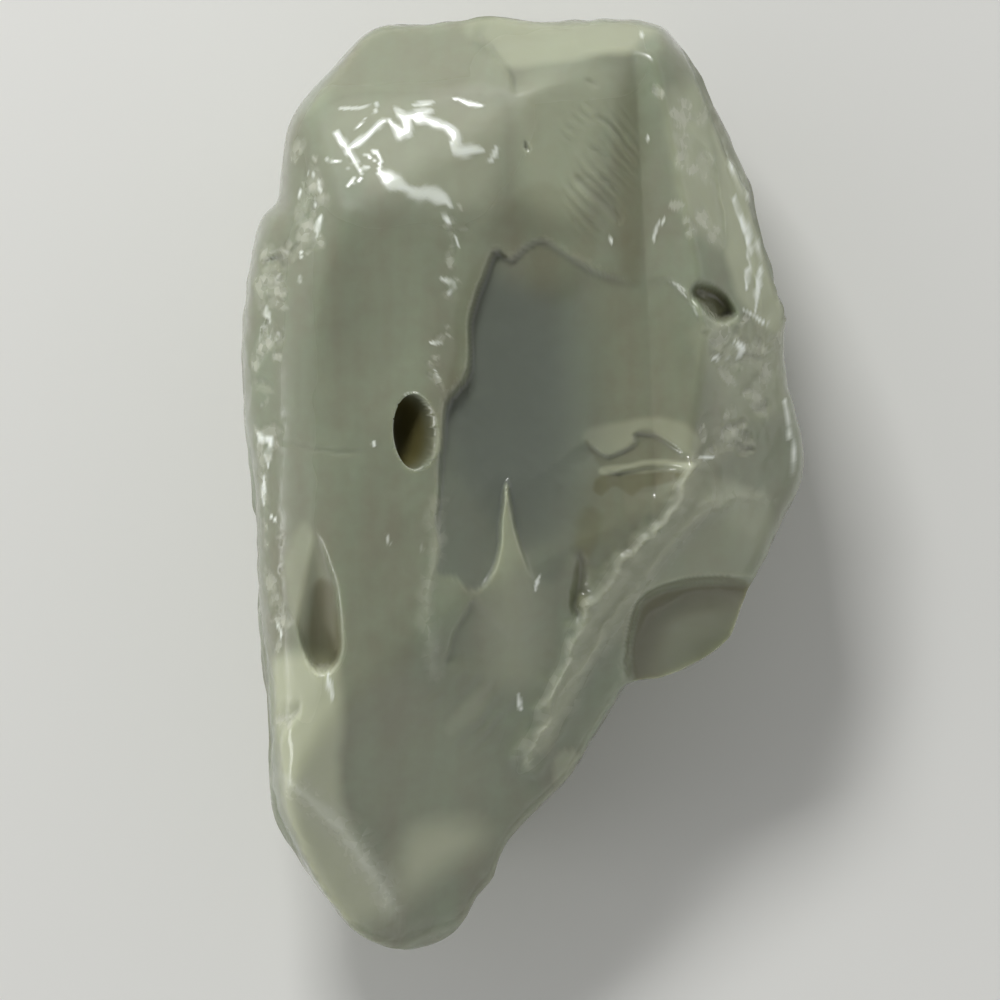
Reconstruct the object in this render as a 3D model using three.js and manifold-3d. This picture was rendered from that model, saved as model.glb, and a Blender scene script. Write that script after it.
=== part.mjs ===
// Glass cullet: one lump of opaque, milky grey-green glass, broken out of a larger block.
// Millimetres, +Z up. The lump lies on its broadest break, which is flat at Z = 0, with its length
// along Y and the hollowed break on top. The origin is under the middle of the lump's box.
//
// The shape starts as a rounded slab with the lump's outline. Flat breaks, shell-shaped scars, edged
// hollows, flakes struck off the sides and the gas bubbles that the breaks have laid open are cut from it
// in turn.

import * as THREE from "three";
import { mergeVertices } from "three/addons/utils/BufferGeometryUtils.js";
import Module from "manifold-3d";

const wasm = await Module();
wasm.setup();

// Driving dimensions

const CREST_HEIGHT = 48; // top of the slab before the breaks
const SINK_DEPTH = 5; // how far the slab reaches below the resting plane, where it is cut flat
const GIRTH_HEIGHT = 18; // mean height of the widest line round the lump
const GIRTH_SWAY = 3; // the widest line climbs and falls by this much
const GIRTH_PHASE = 0.6; // where on its way round it starts to climb, in radians
const RIDGE_SWAY = 4; // the ridge between the upper and lower flakes climbs and falls by this much
const RIDGE_CLIMBS = 2; // times on its way round
const SLAB_ROUNDING = 0.55; // 1 is an ellipsoid, less is boxier
const HEART = { x: -0.4, y: 3.4 }; // the outline is measured round this point

// How finely the curved skins are faceted
const SKIN_DETAIL = 11;
const SCAR_FACETS = [36, 24];
const FLAKE_FACETS = [30, 20];
const FLOOR_FACETS = [48, 32];
const BUBBLE_FACETS = [20, 14];
const OUTLINE_SAMPLES = 720;

const WASTE_BLOCK = 200; // side of the block that a flat break takes off
const HOLLOW_BASE = 20; // an edged hollow's walls run up from here
const HOLLOW_RISE = 40; // and this far
const WELD_GAP = 1e-4; // corners closer than this are one
const UP = new THREE.Vector3(0, 0, 1);

// The widest outline, seen from above, anticlockwise from the right-hand end
const OUTLINE = [
  [33.1, 3.4], [32.4, 7.5], [31.2, 11.7], [30.8, 16.7], [31.3, 20.5], [30.2, 24.2],
  [28.8, 28.9], [27.5, 33.4], [25.5, 37.8], [23.4, 42.6], [21.2, 47.5], [18.9, 50.8],
  [16.1, 53.4], [11.4, 54.2], [4.4, 54.2], [-0.9, 54.6], [-3.9, 55.0], [-7.4, 54.4],
  [-11.5, 53.8], [-16.2, 53.5], [-18.9, 52.0], [-22.1, 48.7], [-25.3, 45.2], [-27.4, 41.7],
  [-28.2, 36.9], [-28.7, 33.1], [-30.6, 30.8], [-31.7, 26.9], [-32.5, 22.2], [-32.9, 16.9],
  [-32.6, 7.5], [-31.7, -1.9], [-31.4, -11.3], [-30.6, -21.9], [-30.0, -31.3], [-29.2, -38.9],
  [-26.8, -43.5], [-22.9, -49.2], [-19.2, -53.2], [-14.5, -55.0], [-11.5, -54.8], [-8.0, -53.1],
  [-6.1, -50.8], [-5.4, -49.2], [-3.4, -46.8], [-2.7, -44.5], [-1.1, -41.7], [2.6, -37.9],
  [5.5, -34.8], [8.2, -30.2], [10.5, -26.6], [12.6, -23.7], [17.1, -22.8], [21.4, -20.8],
  [24.4, -18.4], [25.5, -15.8], [26.7, -12.5], [28.6, -8.9], [30.6, -4.6], [32.6, -0.4],
];

// Flat breaks: a point on each, the compass direction that it faces (0 is +X, 90 is +Y) and its tilt
// from straight up, in degrees
const BREAKS = {
  rest: { at: [0, 0, 0], azimuth: 0, tilt: 180 },
  left_front: { at: [-16.8, 18, 42.4], azimuth: 190, tilt: 5 },
  lower_front: { at: [-9, -30, 40], azimuth: 292, tilt: 6 },
  left_bevel: { at: [-28.3, 8, 38.5], azimuth: 182, tilt: 50 },
  left_upper: { at: [-26, 30, 38.5], azimuth: 165, tilt: 42 },
  low_left: { at: [-21.5, -30, 40.3], azimuth: 186, tilt: 24 },
  foot_bevel: { at: [-20.4, -41.6, 39], azimuth: 217, tilt: 42 },
  top_left_dome: { at: [-14, 47, 35.6], azimuth: 104, tilt: 43 },
  crinkle_band: { at: [-12, 36.5, 41.3], azimuth: 106, tilt: 23.5 },
  top_band: { at: [7, 50, 38.5], azimuth: 87, tilt: 60 },
  right_bevel: { at: [24, 31, 35], azimuth: 16, tilt: 48 },
  right_bulge: { at: [27, 5, 33], azimuth: 352, tilt: 44 },
  lower_right: { at: [19.6, -7, 35], azimuth: 305, tilt: 34 },
  long_bevel: { at: [5.5, -28, 36], azimuth: 322, tilt: 46 },
  under_left: { at: [-29, 0, 10], azimuth: 185, tilt: 118 },
  under_right: { at: [27, 12, 8], azimuth: 8, tilt: 126 },
  under_head: { at: [0, 50, 11], azimuth: 95, tilt: 122 },
  under_foot: { at: [-13, -49, 8], azimuth: 258, tilt: 130 },
  under_notch: { at: [12, -22, 7], azimuth: 318, tilt: 128 },
};

// The valley down the right-hand side: the glass stops at whichever of two breaks lies further out
const VALLEY = {
  striated_side: { at: [13.8, 36, 37.6], azimuth: 15, tilt: 9 },
  column_side: { at: [13.8, 36, 37.6], azimuth: 178, tilt: 22 },
};

// Shell-shaped scars: the bowl's centre, half-sizes along its own axes, and its turn about Z in degrees
const SCARS = {
  left_front_dish: { at: [-17.5, 17, 62], half: [18, 26, 21], turn: 0 },
  brow: { at: [2.5, 27, 56.5], half: [13, 11, 17.5], turn: -6 },
  bubble_scoop: { at: [21.5, -20.5, 28.5], half: [9.5, 9, 10], turn: 18 },
  head_side: { at: [2, 66, 20], half: [20, 15, 16], turn: 0 },
  right_side: { at: [43, 22, 17], half: [14, 19, 15], turn: 10 },
  left_side: { at: [-44, -14, 14], half: [14, 24, 15], turn: 4 },
  notch_side: { at: [16, -40, 14], half: [15, 12, 14], turn: 35 },
  belly: { at: [-4, 6, -28], half: [26, 34, 30], turn: 20 },
};

// The great hollow: its broken edge seen from above, and the bowl whose underside is its floor
const GREAT_HOLLOW = {
  edge: [
    [-3.2, 26.7], [-1.3, 25.9], [0.5, 27.4], [2.5, 28.0], [4.6, 26.9], [7.0, 25.5], [10.0, 24.0],
    [13.4, 23.2], [17.0, 23.6], [20.5, 20.0], [22.5, 14.0], [21.5, 7.0], [19.5, 2.0], [16.0, -2.0],
    [12.5, -5.5], [9.0, -9.5], [7.2, -12.5], [6.9, -15.3], [5.1, -12.8], [2.6, -12.2], [0.9, -10.6],
    [-0.4, -6.7], [-1.9, -0.3], [-2.6, -8.0], [-3.4, -10.6], [-5.8, -12.6], [-7.8, -11.3], [-9.9, -10.6],
    [-9.6, -8.5], [-9.9, -5.1], [-9.6, -0.7], [-9.4, 3.6], [-8.8, 9.0], [-6.7, 11.6], [-6.2, 13.2],
    [-6.0, 16.1], [-5.9, 19.1], [-4.6, 23.6],
  ],
  floor: { at: [7.5, 17, 77.2], half: [33, 89, 40], turn: 0 },
};

// Hollows with a floor of two flat breaks: the ledge beside the great hollow, and the long trough
const EDGED_HOLLOWS = {
  ledge: {
    edge: [
      [-8.8, 9.0], [-8.4, 12.4], [-7.8, 15.6], [-7.9, 19.1], [-6.7, 23.6], [-4.2, 26.9], [-2.2, 26.8],
      [0.0, 22.0], [0.0, 14.0], [-4.0, 10.0],
    ],
    floors: [
      { at: [-6.5, 17, 41.4], azimuth: 0, tilt: 5.7 },
      { at: [-6.5, 17, 41.4], azimuth: 0, tilt: 16.7 },
    ],
  },
  trough: {
    edge: [
      [-25.3, -4.7], [-24.1, -5.9], [-23.2, -7.8], [-22.2, -10.7], [-21.4, -14.2], [-21.2, -18.4],
      [-21.5, -20.7], [-22.4, -21.8], [-23.3, -22.1], [-24.4, -21.6], [-25.2, -20.1], [-26.2, -17.2],
      [-27.4, -13.6], [-28.2, -10.1], [-27.4, -7.2], [-26.2, -5.4],
    ],
    floors: [
      { at: [-23.2, -18.5, 36.6], azimuth: 333, tilt: 29 },
      { at: [-23.2, -18.5, 36.6], azimuth: 192, tilt: 51 },
    ],
  },
};

// Flakes struck off the sides all the way round, below and above the ridge that keeps the outline: how
// many, and the least and greatest depth, radius and half-height of the bowls
const FLAKES = [
  { count: 13, upward: false, depth: [3, 5.5], radius: [24, 40], tall: [13, 19], seed: 21 },
  { count: 12, upward: true, depth: [1.4, 2.6], radius: [28, 46], tall: [14, 22], seed: 22 },
];
const FLAKE_PLAY = 0.3; // how far a flake strays along the outline, as a share of the spacing
const FLAKE_BERTH = 24; // no flake starts closer than this to the middle of the scoop

// Weights of the sine hash that scatters the flakes, and the number that each of a flake's sizes has in it
const HASH = { flake: 127.1, size: 311.7, seed: 19.19, spread: 43758.5453 };
const FLAKE_SIZE = { stray: 0, depth: 1, radius: 2, tall: 3 };

// Gas bubbles laid open by the breaks: centre, half-sizes and turn about Z in degrees
const BUBBLES = {
  eye: { at: [-12.4, 5.7, 42.6], half: [2.6, 4.5, 5], turn: 4 },
  right_pit: { at: [22.3, 20.8, 39.9], half: [1.8, 2.9, 2.6], turn: 40 },
};

const glass = new THREE.MeshStandardMaterial({
  name: "milky_glass",
  color: 0x7f8674,
  roughness: 0.15,
  metalness: 0,
});

function radians(degrees) {
  return THREE.MathUtils.degToRad(degrees);
}

// The outward normal of a break that faces a compass direction with a given tilt from straight up.
function facing({ azimuth, tilt }) {
  const across = Math.sin(radians(tilt));
  return new THREE.Vector3(
    across * Math.cos(radians(azimuth)),
    across * Math.sin(radians(azimuth)),
    Math.cos(radians(tilt)),
  );
}

// The outline as a distance from the heart for every compass angle, read off a closed smooth curve.
function outlineReach() {
  const points = OUTLINE.map(([x, y]) => new THREE.Vector3(x, y, 0));
  const curve = new THREE.CatmullRomCurve3(points, true, "centripetal");
  const samples = curve.getPoints(OUTLINE_SAMPLES).map((p) => {
    const x = p.x - HEART.x;
    const y = p.y - HEART.y;
    return { angle: Math.atan2(y, x), reach: Math.hypot(x, y) };
  });
  samples.sort((a, b) => a.angle - b.angle);
  return (angle) => {
    let low = 0;
    let high = samples.length - 1;
    while (high - low > 1) {
      const middle = (low + high) >> 1;
      if (samples[middle].angle <= angle) low = middle;
      else high = middle;
    }
    const span = samples[high].angle - samples[low].angle;
    const share = span > 0 ? THREE.MathUtils.clamp((angle - samples[low].angle) / span, 0, 1) : 0;
    return THREE.MathUtils.lerp(samples[low].reach, samples[high].reach, share);
  };
}

// A point on the rounded slab, for a direction on the unit sphere.
function slabPoint(direction, reachAt) {
  const angle = Math.atan2(direction.y, direction.x);
  const across = Math.hypot(direction.x, direction.y) ** SLAB_ROUNDING;
  const girth = GIRTH_HEIGHT + GIRTH_SWAY * Math.sin(angle + GIRTH_PHASE);
  const rise = Math.abs(direction.z) ** SLAB_ROUNDING;
  const height = direction.z > 0 ? CREST_HEIGHT - girth : girth + SINK_DEPTH;
  const reach = reachAt(angle) * across;
  return new THREE.Vector3(
    HEART.x + reach * Math.cos(angle),
    HEART.y + reach * Math.sin(angle),
    girth + Math.sign(direction.z) * rise * height,
  );
}

function bowlMatrix({ at, half, turn }) {
  return new THREE.Matrix4().compose(
    new THREE.Vector3(...at),
    new THREE.Quaternion().setFromAxisAngle(UP, radians(turn)),
    new THREE.Vector3(...half),
  );
}

// A closed geometry with shared vertices as a solid for joining and cutting.
function solidOf(geometry) {
  const bare = geometry.clone();
  bare.deleteAttribute("normal");
  bare.deleteAttribute("uv");
  const merged = mergeVertices(bare, WELD_GAP);
  return new wasm.Manifold(
    new wasm.Mesh({
      numProp: 3,
      vertProperties: merged.attributes.position.array,
      triVerts: new Uint32Array(merged.index.array),
    }),
  );
}

function geometryOf(solid) {
  const mesh = solid.getMesh();
  const geometry = new THREE.BufferGeometry();
  geometry.setAttribute("position", new THREE.BufferAttribute(mesh.vertProperties, mesh.numProp));
  geometry.setIndex(new THREE.BufferAttribute(mesh.triVerts, 1));
  geometry.computeVertexNormals();
  return geometry;
}

// The rounded slab that the lump is broken from.
function slabSolid() {
  const reachAt = outlineReach();
  const skin = new THREE.IcosahedronGeometry(1, SKIN_DETAIL);
  const positions = skin.attributes.position;
  const direction = new THREE.Vector3();
  for (let i = 0; i < positions.count; i++) {
    direction.fromBufferAttribute(positions, i).normalize();
    const point = slabPoint(direction, reachAt);
    positions.setXYZ(i, point.x, point.y, point.z);
  }
  return solidOf(skin);
}

// What a flat break takes off: a block whose underside lies on the break.
function brokenOff({ at, azimuth, tilt }) {
  const normal = facing({ azimuth, tilt });
  const block = new THREE.BoxGeometry(WASTE_BLOCK, WASTE_BLOCK, WASTE_BLOCK);
  block.translate(0, 0, WASTE_BLOCK / 2);
  block.applyQuaternion(new THREE.Quaternion().setFromUnitVectors(UP, normal));
  block.translate(...at);
  return solidOf(block);
}

// A bowl or a bubble: a ball stretched to its half-sizes, turned and put in place.
function hollow(shape, [round, rise]) {
  return solidOf(new THREE.SphereGeometry(1, round, rise).applyMatrix4(bowlMatrix(shape)));
}

// The straight-walled column over a hollow's broken edge.
function column(edge) {
  const shape = new THREE.Shape(edge.map(([x, y]) => new THREE.Vector2(x, y)));
  const walls = new THREE.ExtrudeGeometry(shape, { depth: HOLLOW_RISE, bevelEnabled: false });
  return solidOf(walls.translate(0, 0, HOLLOW_BASE));
}

function edgedHollow({ edge, floors }) {
  return floors.map(brokenOff).reduce((waste, above) => waste.intersect(above), column(edge));
}

// A fixed number between low and high for each flake and each of its sizes.
function scattered([low, high], flake, size, seed) {
  const mixed = Math.sin(HASH.flake * flake + HASH.size * size + HASH.seed * seed) * HASH.spread;
  return low + (high - low) * (mixed - Math.floor(mixed));
}

// The spot a given share of the way round the outline, and the direction that faces outwards there.
function rimAt(share) {
  const corners = OUTLINE.map(([x, y]) => new THREE.Vector2(x, y));
  const corner = (i) => corners[(i + corners.length) % corners.length];
  const lengths = corners.map((point, i) => point.distanceTo(corner(i + 1)));
  let travel = share * lengths.reduce((total, length) => total + length, 0);
  let edge = 0;
  while (travel > lengths[edge]) {
    travel -= lengths[edge];
    edge += 1;
  }
  const spot = new THREE.Vector2().lerpVectors(corner(edge), corner(edge + 1), travel / lengths[edge]);
  const chord = new THREE.Vector2().subVectors(corner(edge + 2), corner(edge - 1));
  return { spot, outward: new THREE.Vector2(chord.y, -chord.x).normalize() };
}

// One flake: a bowl whose middle lies its radius less its depth outside the outline. It just touches the
// ridge, from above or from below.
function flakeBowl({ count, upward, depth, radius, tall, seed }, flake) {
  const stray = scattered([-FLAKE_PLAY, FLAKE_PLAY], flake, FLAKE_SIZE.stray, seed);
  const share = THREE.MathUtils.euclideanModulo((flake + stray) / count, 1);
  const { spot, outward } = rimAt(share);
  const across = scattered(radius, flake, FLAKE_SIZE.radius, seed);
  const away = across - scattered(depth, flake, FLAKE_SIZE.depth, seed);
  const half = scattered(tall, flake, FLAKE_SIZE.tall, seed);
  const extent = half * Math.sqrt(1 - (away / across) ** 2);
  const ridge = GIRTH_HEIGHT + RIDGE_SWAY * Math.sin(2 * Math.PI * RIDGE_CLIMBS * share);
  const middle = spot.clone().addScaledVector(outward, away);
  return {
    spot,
    at: [middle.x, middle.y, upward ? ridge + extent : ridge - extent],
    half: [across, across, half],
    turn: 0,
  };
}

// One row of flakes all the way round, without those that would cut into the scoop.
function flakeRow(row) {
  const [x, y] = SCARS.bubble_scoop.at;
  const scoop = new THREE.Vector2(x, y);
  const bowls = Array.from({ length: row.count }, (_, flake) => flakeBowl(row, flake));
  return bowls.filter(({ spot }) => spot.distanceTo(scoop) >= FLAKE_BERTH);
}

function lumpSolid() {
  const waste = [
    ...Object.values(BREAKS).map(brokenOff),
    brokenOff(VALLEY.striated_side).intersect(brokenOff(VALLEY.column_side)),
    ...Object.values(SCARS).map((scar) => hollow(scar, SCAR_FACETS)),
    column(GREAT_HOLLOW.edge).intersect(hollow(GREAT_HOLLOW.floor, FLOOR_FACETS)),
    ...Object.values(EDGED_HOLLOWS).map(edgedHollow),
    ...FLAKES.flatMap(flakeRow).map((flake) => hollow(flake, FLAKE_FACETS)),
    ...Object.values(BUBBLES).map((bubble) => hollow(bubble, BUBBLE_FACETS)),
  ];
  return waste.reduce((lump, piece) => lump.subtract(piece), slabSolid());
}

// The geometry moved so that the origin is under the middle of its box.
function standingOnOrigin(geometry) {
  geometry.computeBoundingBox();
  const { min, max } = geometry.boundingBox;
  return geometry.translate(-(min.x + max.x) / 2, -(min.y + max.y) / 2, -min.z);
}

const cullet = new THREE.Mesh(standingOnOrigin(geometryOf(lumpSolid())), glass);
cullet.name = "cullet";

const part = new THREE.Group();
part.name = "glass_cullet";
part.add(cullet);

export default part;
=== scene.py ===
"""Looks of a glass cullet: one lump of opaque, milky grey-green glass broken out of a larger block.

The lump is one closed skin worked out on a grid of rings and spokes. Shapes are computed in
millimetres in the lump's own plan view (X across, Y along its length, Z up from the break that it
lies on) and turned to metres when the mesh is made.
"""
import logging
import math
from dataclasses import dataclass
from dataclasses import field
from enum import Enum

import bpy
import numpy as np
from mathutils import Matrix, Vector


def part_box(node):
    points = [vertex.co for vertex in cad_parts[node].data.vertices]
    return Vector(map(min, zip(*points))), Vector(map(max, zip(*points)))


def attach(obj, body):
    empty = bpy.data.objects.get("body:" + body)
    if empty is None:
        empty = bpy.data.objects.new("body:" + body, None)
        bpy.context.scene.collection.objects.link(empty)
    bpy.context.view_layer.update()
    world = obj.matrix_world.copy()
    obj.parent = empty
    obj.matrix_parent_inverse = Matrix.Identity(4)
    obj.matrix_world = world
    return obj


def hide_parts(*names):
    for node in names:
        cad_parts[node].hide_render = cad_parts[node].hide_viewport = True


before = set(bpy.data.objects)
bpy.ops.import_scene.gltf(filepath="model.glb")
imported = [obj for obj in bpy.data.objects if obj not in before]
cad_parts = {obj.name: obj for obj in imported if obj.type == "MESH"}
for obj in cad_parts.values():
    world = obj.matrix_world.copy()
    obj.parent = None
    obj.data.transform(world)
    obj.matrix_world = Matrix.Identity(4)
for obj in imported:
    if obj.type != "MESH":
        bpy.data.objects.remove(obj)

LOG = logging.getLogger("glass_cullet")

# One millimetre in metres, a full turn in radians, and a length too small to see
MM = 0.001
FULL_TURN = 2.0 * math.pi
TINY = 1e-9

# Samples on each span of a curve through given points
RIM_STEPS = 5
LINE_STEPS = 6
OUTLINE_STEPS = 12

# Weights and scale of the sine hash that gives every fixed random value
HASH_WEIGHTS = (127.1, 311.7, 74.7)
HASH_SEED = 19.19
HASH_SCALE = 43758.5453

# Sockets of a Mix node that take its share and its two colours, and the one that gives the colour
MIX_SHARE = 0
MIX_UNDER = 6
MIX_OVER = 7
MIX_COLOUR = 2

Point2 = tuple[float, float]
Point3 = tuple[float, float, float]


def linear(code: str) -> tuple[float, float, float, float]:
    """Turn an sRGB hex colour into the linear colour that shaders take.

    The steps and powers are those of the sRGB standard.

    Args:
        code: Six hex digits after a hash sign.

    Returns:
        Linear red, green and blue, with an alpha of one.
    """
    channels = [int(code[i:i + 2], 16) / 255.0 for i in (1, 3, 5)]
    values = [c / 12.92 if c <= 0.04045 else ((c + 0.055) / 1.055) ** 2.4 for c in channels]
    return (values[0], values[1], values[2], 1.0)


def smooth_step(low: float, high: float, value: np.ndarray) -> np.ndarray:
    """Rise from 0 at low to 1 at high along 3t^2 - 2t^3.

    Args:
        low: Value at which the rise starts.
        high: Value at which it ends.
        value: Where to work it out.

    Returns:
        The risen share, of the same shape as value.
    """
    share = np.clip((value - low) / (high - low), 0.0, 1.0)
    return share * share * (3.0 - 2.0 * share)


def soft_min(first: np.ndarray, second: np.ndarray, blend: float) -> np.ndarray:
    """Give the smaller of two lengths, with the crease between them rounded over a length.

    The result is the plain minimum less h^2 * blend / 4, where h falls from 1 to 0 as the two lengths come
    to differ by blend.

    Args:
        first: One length at each point.
        second: The other length at each point.
        blend: Difference at which the rounding ends.

    Returns:
        The rounded minimum at each point.
    """
    nearness = np.clip(1.0 - np.abs(first - second) / blend, 0.0, 1.0)
    return np.minimum(first, second) - nearness * nearness * blend / 4.0


def curve_through(points: tuple[Point2, ...], closed: bool, per_span: int) -> np.ndarray:
    """Carry a Catmull-Rom curve through points.

    Args:
        points: Points in plan, in order.
        closed: Whether the curve joins up with its start.
        per_span: Samples on each span between two points.

    Returns:
        Samples along the curve, one a row, with the last point included on an open curve.
    """
    given = np.array(points, dtype=float)
    if closed:
        before, start = np.roll(given, 1, axis=0), given
        end, after = np.roll(given, -1, axis=0), np.roll(given, -2, axis=0)
    else:
        padded = np.vstack([2 * given[0] - given[1], given, 2 * given[-1] - given[-2]])
        before, start, end, after = padded[:-3], padded[1:-2], padded[2:-1], padded[3:]
    t = (np.arange(per_span) / per_span)[None, :, None]
    p0, p1, p2, p3 = (p[:, None, :] for p in (before, start, end, after))
    samples = 0.5 * (2 * p1 + (p2 - p0) * t + (2 * p0 - 5 * p1 + 4 * p2 - p3) * t ** 2
                     + (3 * p1 - p0 - 3 * p2 + p3) * t ** 3)
    samples = samples.reshape(-1, 2)
    return samples if closed else np.vstack([samples, given[-1]])


def depth_inside(outline: tuple[Point2, ...], plan: np.ndarray) -> np.ndarray:
    """Measure how far inside a closed outline each place lies.

    Args:
        outline: Points that a closed curve goes through.
        plan: Places in plan, one a row.

    Returns:
        Distance to the outline in millimetres, negative outside.
    """
    rim = curve_through(outline, closed=True, per_span=RIM_STEPS)
    nearest = np.full(len(plan), np.inf)
    crossed = np.zeros(len(plan), dtype=bool)
    for tail, head in zip(rim, np.roll(rim, -1, axis=0)):
        span = head - tail
        offset = plan - tail
        share = np.clip((offset @ span) / (span @ span), 0.0, 1.0)
        gap = offset - share[:, None] * span
        nearest = np.minimum(nearest, np.sum(gap * gap, axis=1))
        level = (tail[1] > plan[:, 1]) != (head[1] > plan[:, 1])
        height = span[1] if abs(span[1]) > TINY else TINY
        crossed ^= level & (plan[:, 0] < tail[0] + span[0] * offset[:, 1] / height)
    return np.where(crossed, 1.0, -1.0) * np.sqrt(nearest)


def line_distance(points: tuple[Point2, ...], plan: np.ndarray,
                  reach: float) -> tuple[np.ndarray, np.ndarray]:
    """Measure places against a drawn line.

    Args:
        points: Points that the line goes through.
        plan: Places in plan, one a row.
        reach: How far from the line's box places are still measured.

    Returns:
        Signed distance from the line, positive on the left of its travel and endless beyond reach, and the
        distance along the line to its nearer end.
    """
    samples = curve_through(points, closed=False, per_span=LINE_STEPS)
    lengths = np.hypot(*np.diff(samples, axis=0).T)
    starts = np.concatenate([[0.0], np.cumsum(lengths)])
    low, high = samples.min(axis=0) - reach, samples.max(axis=0) + reach
    near = np.all((plan > low) & (plan < high), axis=1)
    spots = plan[near]
    nearest = np.full(len(spots), np.inf)
    side = np.ones(len(spots))
    along = np.zeros(len(spots))
    for tail, head, length, base in zip(samples[:-1], samples[1:], lengths, starts):
        span = head - tail
        offset = spots - tail
        share = np.clip((offset @ span) / (length * length), 0.0, 1.0)
        gap = offset - share[:, None] * span
        square = np.sum(gap * gap, axis=1)
        closer = square < nearest
        cross = span[0] * offset[:, 1] - span[1] * offset[:, 0]
        nearest = np.where(closer, square, nearest)
        side = np.where(closer, np.where(cross >= 0.0, 1.0, -1.0), side)
        along = np.where(closer, base + share * length, along)
    distance = np.full(len(plan), np.inf)
    ends = np.zeros(len(plan))
    distance[near] = side * np.sqrt(nearest)
    ends[near] = np.minimum(along, starts[-1] - along)
    return distance, ends


def lattice_value(cells: np.ndarray, seed: int) -> np.ndarray:
    """Give each whole-number lattice point a fixed value between -1 and 1.

    Args:
        cells: Whole-number lattice coordinates, one point a row.
        seed: Number that picks the set of values.

    Returns:
        The value at each lattice point, from a sine hash of its coordinates.
    """
    mixed = cells @ np.array(HASH_WEIGHTS) + HASH_SEED * seed
    hashed = np.sin(mixed) * HASH_SCALE
    return 2.0 * (hashed - np.floor(hashed)) - 1.0


def noise(points: np.ndarray, size: float, seed: int) -> np.ndarray:
    """Work out smooth value noise: lattice values blended by smooth steps along the three axes.

    Args:
        points: Places in millimetres, one a row.
        size: Lattice spacing in millimetres.
        seed: Number that picks the pattern.

    Returns:
        The noise at each place, between -1 and 1.
    """
    scaled = points / size
    cell = np.floor(scaled)
    share = scaled - cell
    share = share * share * (3.0 - 2.0 * share)
    total = np.zeros(len(points))
    for corner in np.ndindex(2, 2, 2):
        offset = np.array(corner, dtype=float)
        weight = np.prod(np.where(offset > 0, share, 1.0 - share), axis=1)
        total += weight * lattice_value(cell + offset, seed)
    return total


@dataclass(frozen=True)
class Unevenness:
    """A layer of smooth noise: its height, the spacing of its swells and the pattern that it takes."""

    height: float
    size: float
    seed: int

    def at(self, points: np.ndarray) -> np.ndarray:
        """Give the noise at each place, times its height."""
        return self.height * noise(points, self.size, self.seed)


@dataclass(frozen=True)
class Ramp:
    """A share that rises smoothly from nothing at one value to an amount at another."""

    amount: float
    start: float
    full: float

    def at(self, value: np.ndarray) -> np.ndarray:
        """Give the share at each value."""
        return self.amount * smooth_step(self.start, self.full, value)


class Tone(Enum):
    """What a place on the skin looks like: each value names the mesh attribute that carries it."""

    # Painted light on faces turned towards the lamps and on thin edges, with paler crackled glass on the
    # right
    PALE = "pale"
    # The glass's cool tone in the hollow, deepened there as painted shade under its walls
    COOL = "cool"
    # Painted olive shade in bubbles, pits, the trough, grooves and under ledges
    OLIVE = "olive"
    # Crushed, whiter glass on chips and ridges, with painted sheen
    BRUISE_AND_SHEEN = "bruise_and_sheen"
    # Painted highlights
    GLINT = "glint"
    DULL = "dull"


class Profile(Enum):
    """What a line of relief does to the skin across it."""

    CREST = "crest"
    FOLD = "fold"
    GROOVE = "groove"
    STEP = "step"


class FlakeSize(Enum):
    """What is drawn for a flake: each value picks its own row of fixed random numbers."""

    STRAY = 0
    DEPTH = 1
    RADIUS = 2
    TALL = 3


@dataclass(frozen=True)
class FlatBreak:
    """A flat break: the glass stops at a plane through a point.

    The plane faces an azimuth, in degrees from +X, and leans away from straight up by its tilt.
    """

    at: Point3
    azimuth: float
    tilt: float
    round: float = 0.6

    def facing(self) -> np.ndarray:
        """Give the outward unit normal."""
        around, lean = math.radians(self.azimuth), math.radians(self.tilt)
        flat = math.sin(lean)
        return np.array([flat * math.cos(around), flat * math.sin(around), math.cos(lean)])

    def share(self, anchors: np.ndarray, rays: np.ndarray) -> np.ndarray:
        """Find how far along each ray the plane lies: n.(q - a) / n.d, or no limit on its far side.

        Args:
            anchors: Start of each ray, inside the glass.
            rays: Each ray's full reach.

        Returns:
            Share of each ray that stays inside the plane.
        """
        normal = self.facing()
        ahead = rays @ normal
        gap = (np.array(self.at) - anchors) @ normal
        return np.where(ahead > TINY, gap / np.maximum(ahead, TINY), np.inf)


@dataclass(frozen=True)
class BowlScar:
    """A shell-shaped scar: the hollow left by an ellipsoid bowl, turned about Z."""

    at: Point3
    half: Point3
    turn: float
    round: float = 0.6

    def share(self, anchors: np.ndarray, rays: np.ndarray) -> np.ndarray:
        """Find where each ray enters the ellipsoid: the smaller root of |(a + s d - c) / half|^2 = 1.

        Args:
            anchors: Start of each ray, inside the glass.
            rays: Each ray's full reach.

        Returns:
            Share of each ray that lies before the bowl, with no limit where the ray misses it.
        """
        angle = math.radians(self.turn)
        spin = np.array([[math.cos(angle), -math.sin(angle), 0.0],
                         [math.sin(angle), math.cos(angle), 0.0], [0.0, 0.0, 1.0]])
        start = ((anchors - np.array(self.at)) @ spin) / np.array(self.half)
        step = (rays @ spin) / np.array(self.half)
        a = np.maximum(np.sum(step * step, axis=1), TINY)
        b = np.sum(start * step, axis=1)
        c = np.sum(start * start, axis=1) - 1.0
        inside = b * b - a * c
        entry = (-b - np.sqrt(np.maximum(inside, 0.0))) / a
        return np.where((inside > 0.0) & (entry > 0.0), entry, np.inf)


@dataclass(frozen=True)
class Valley:
    """A trough between two flat breaks: the glass stops at whichever of them lies further out."""

    left: FlatBreak
    right: FlatBreak
    round: float = 0.6

    def share(self, anchors: np.ndarray, rays: np.ndarray) -> np.ndarray:
        """Give the larger of the two planes' shares along each ray."""
        return np.maximum(self.left.share(anchors, rays), self.right.share(anchors, rays))


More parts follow.
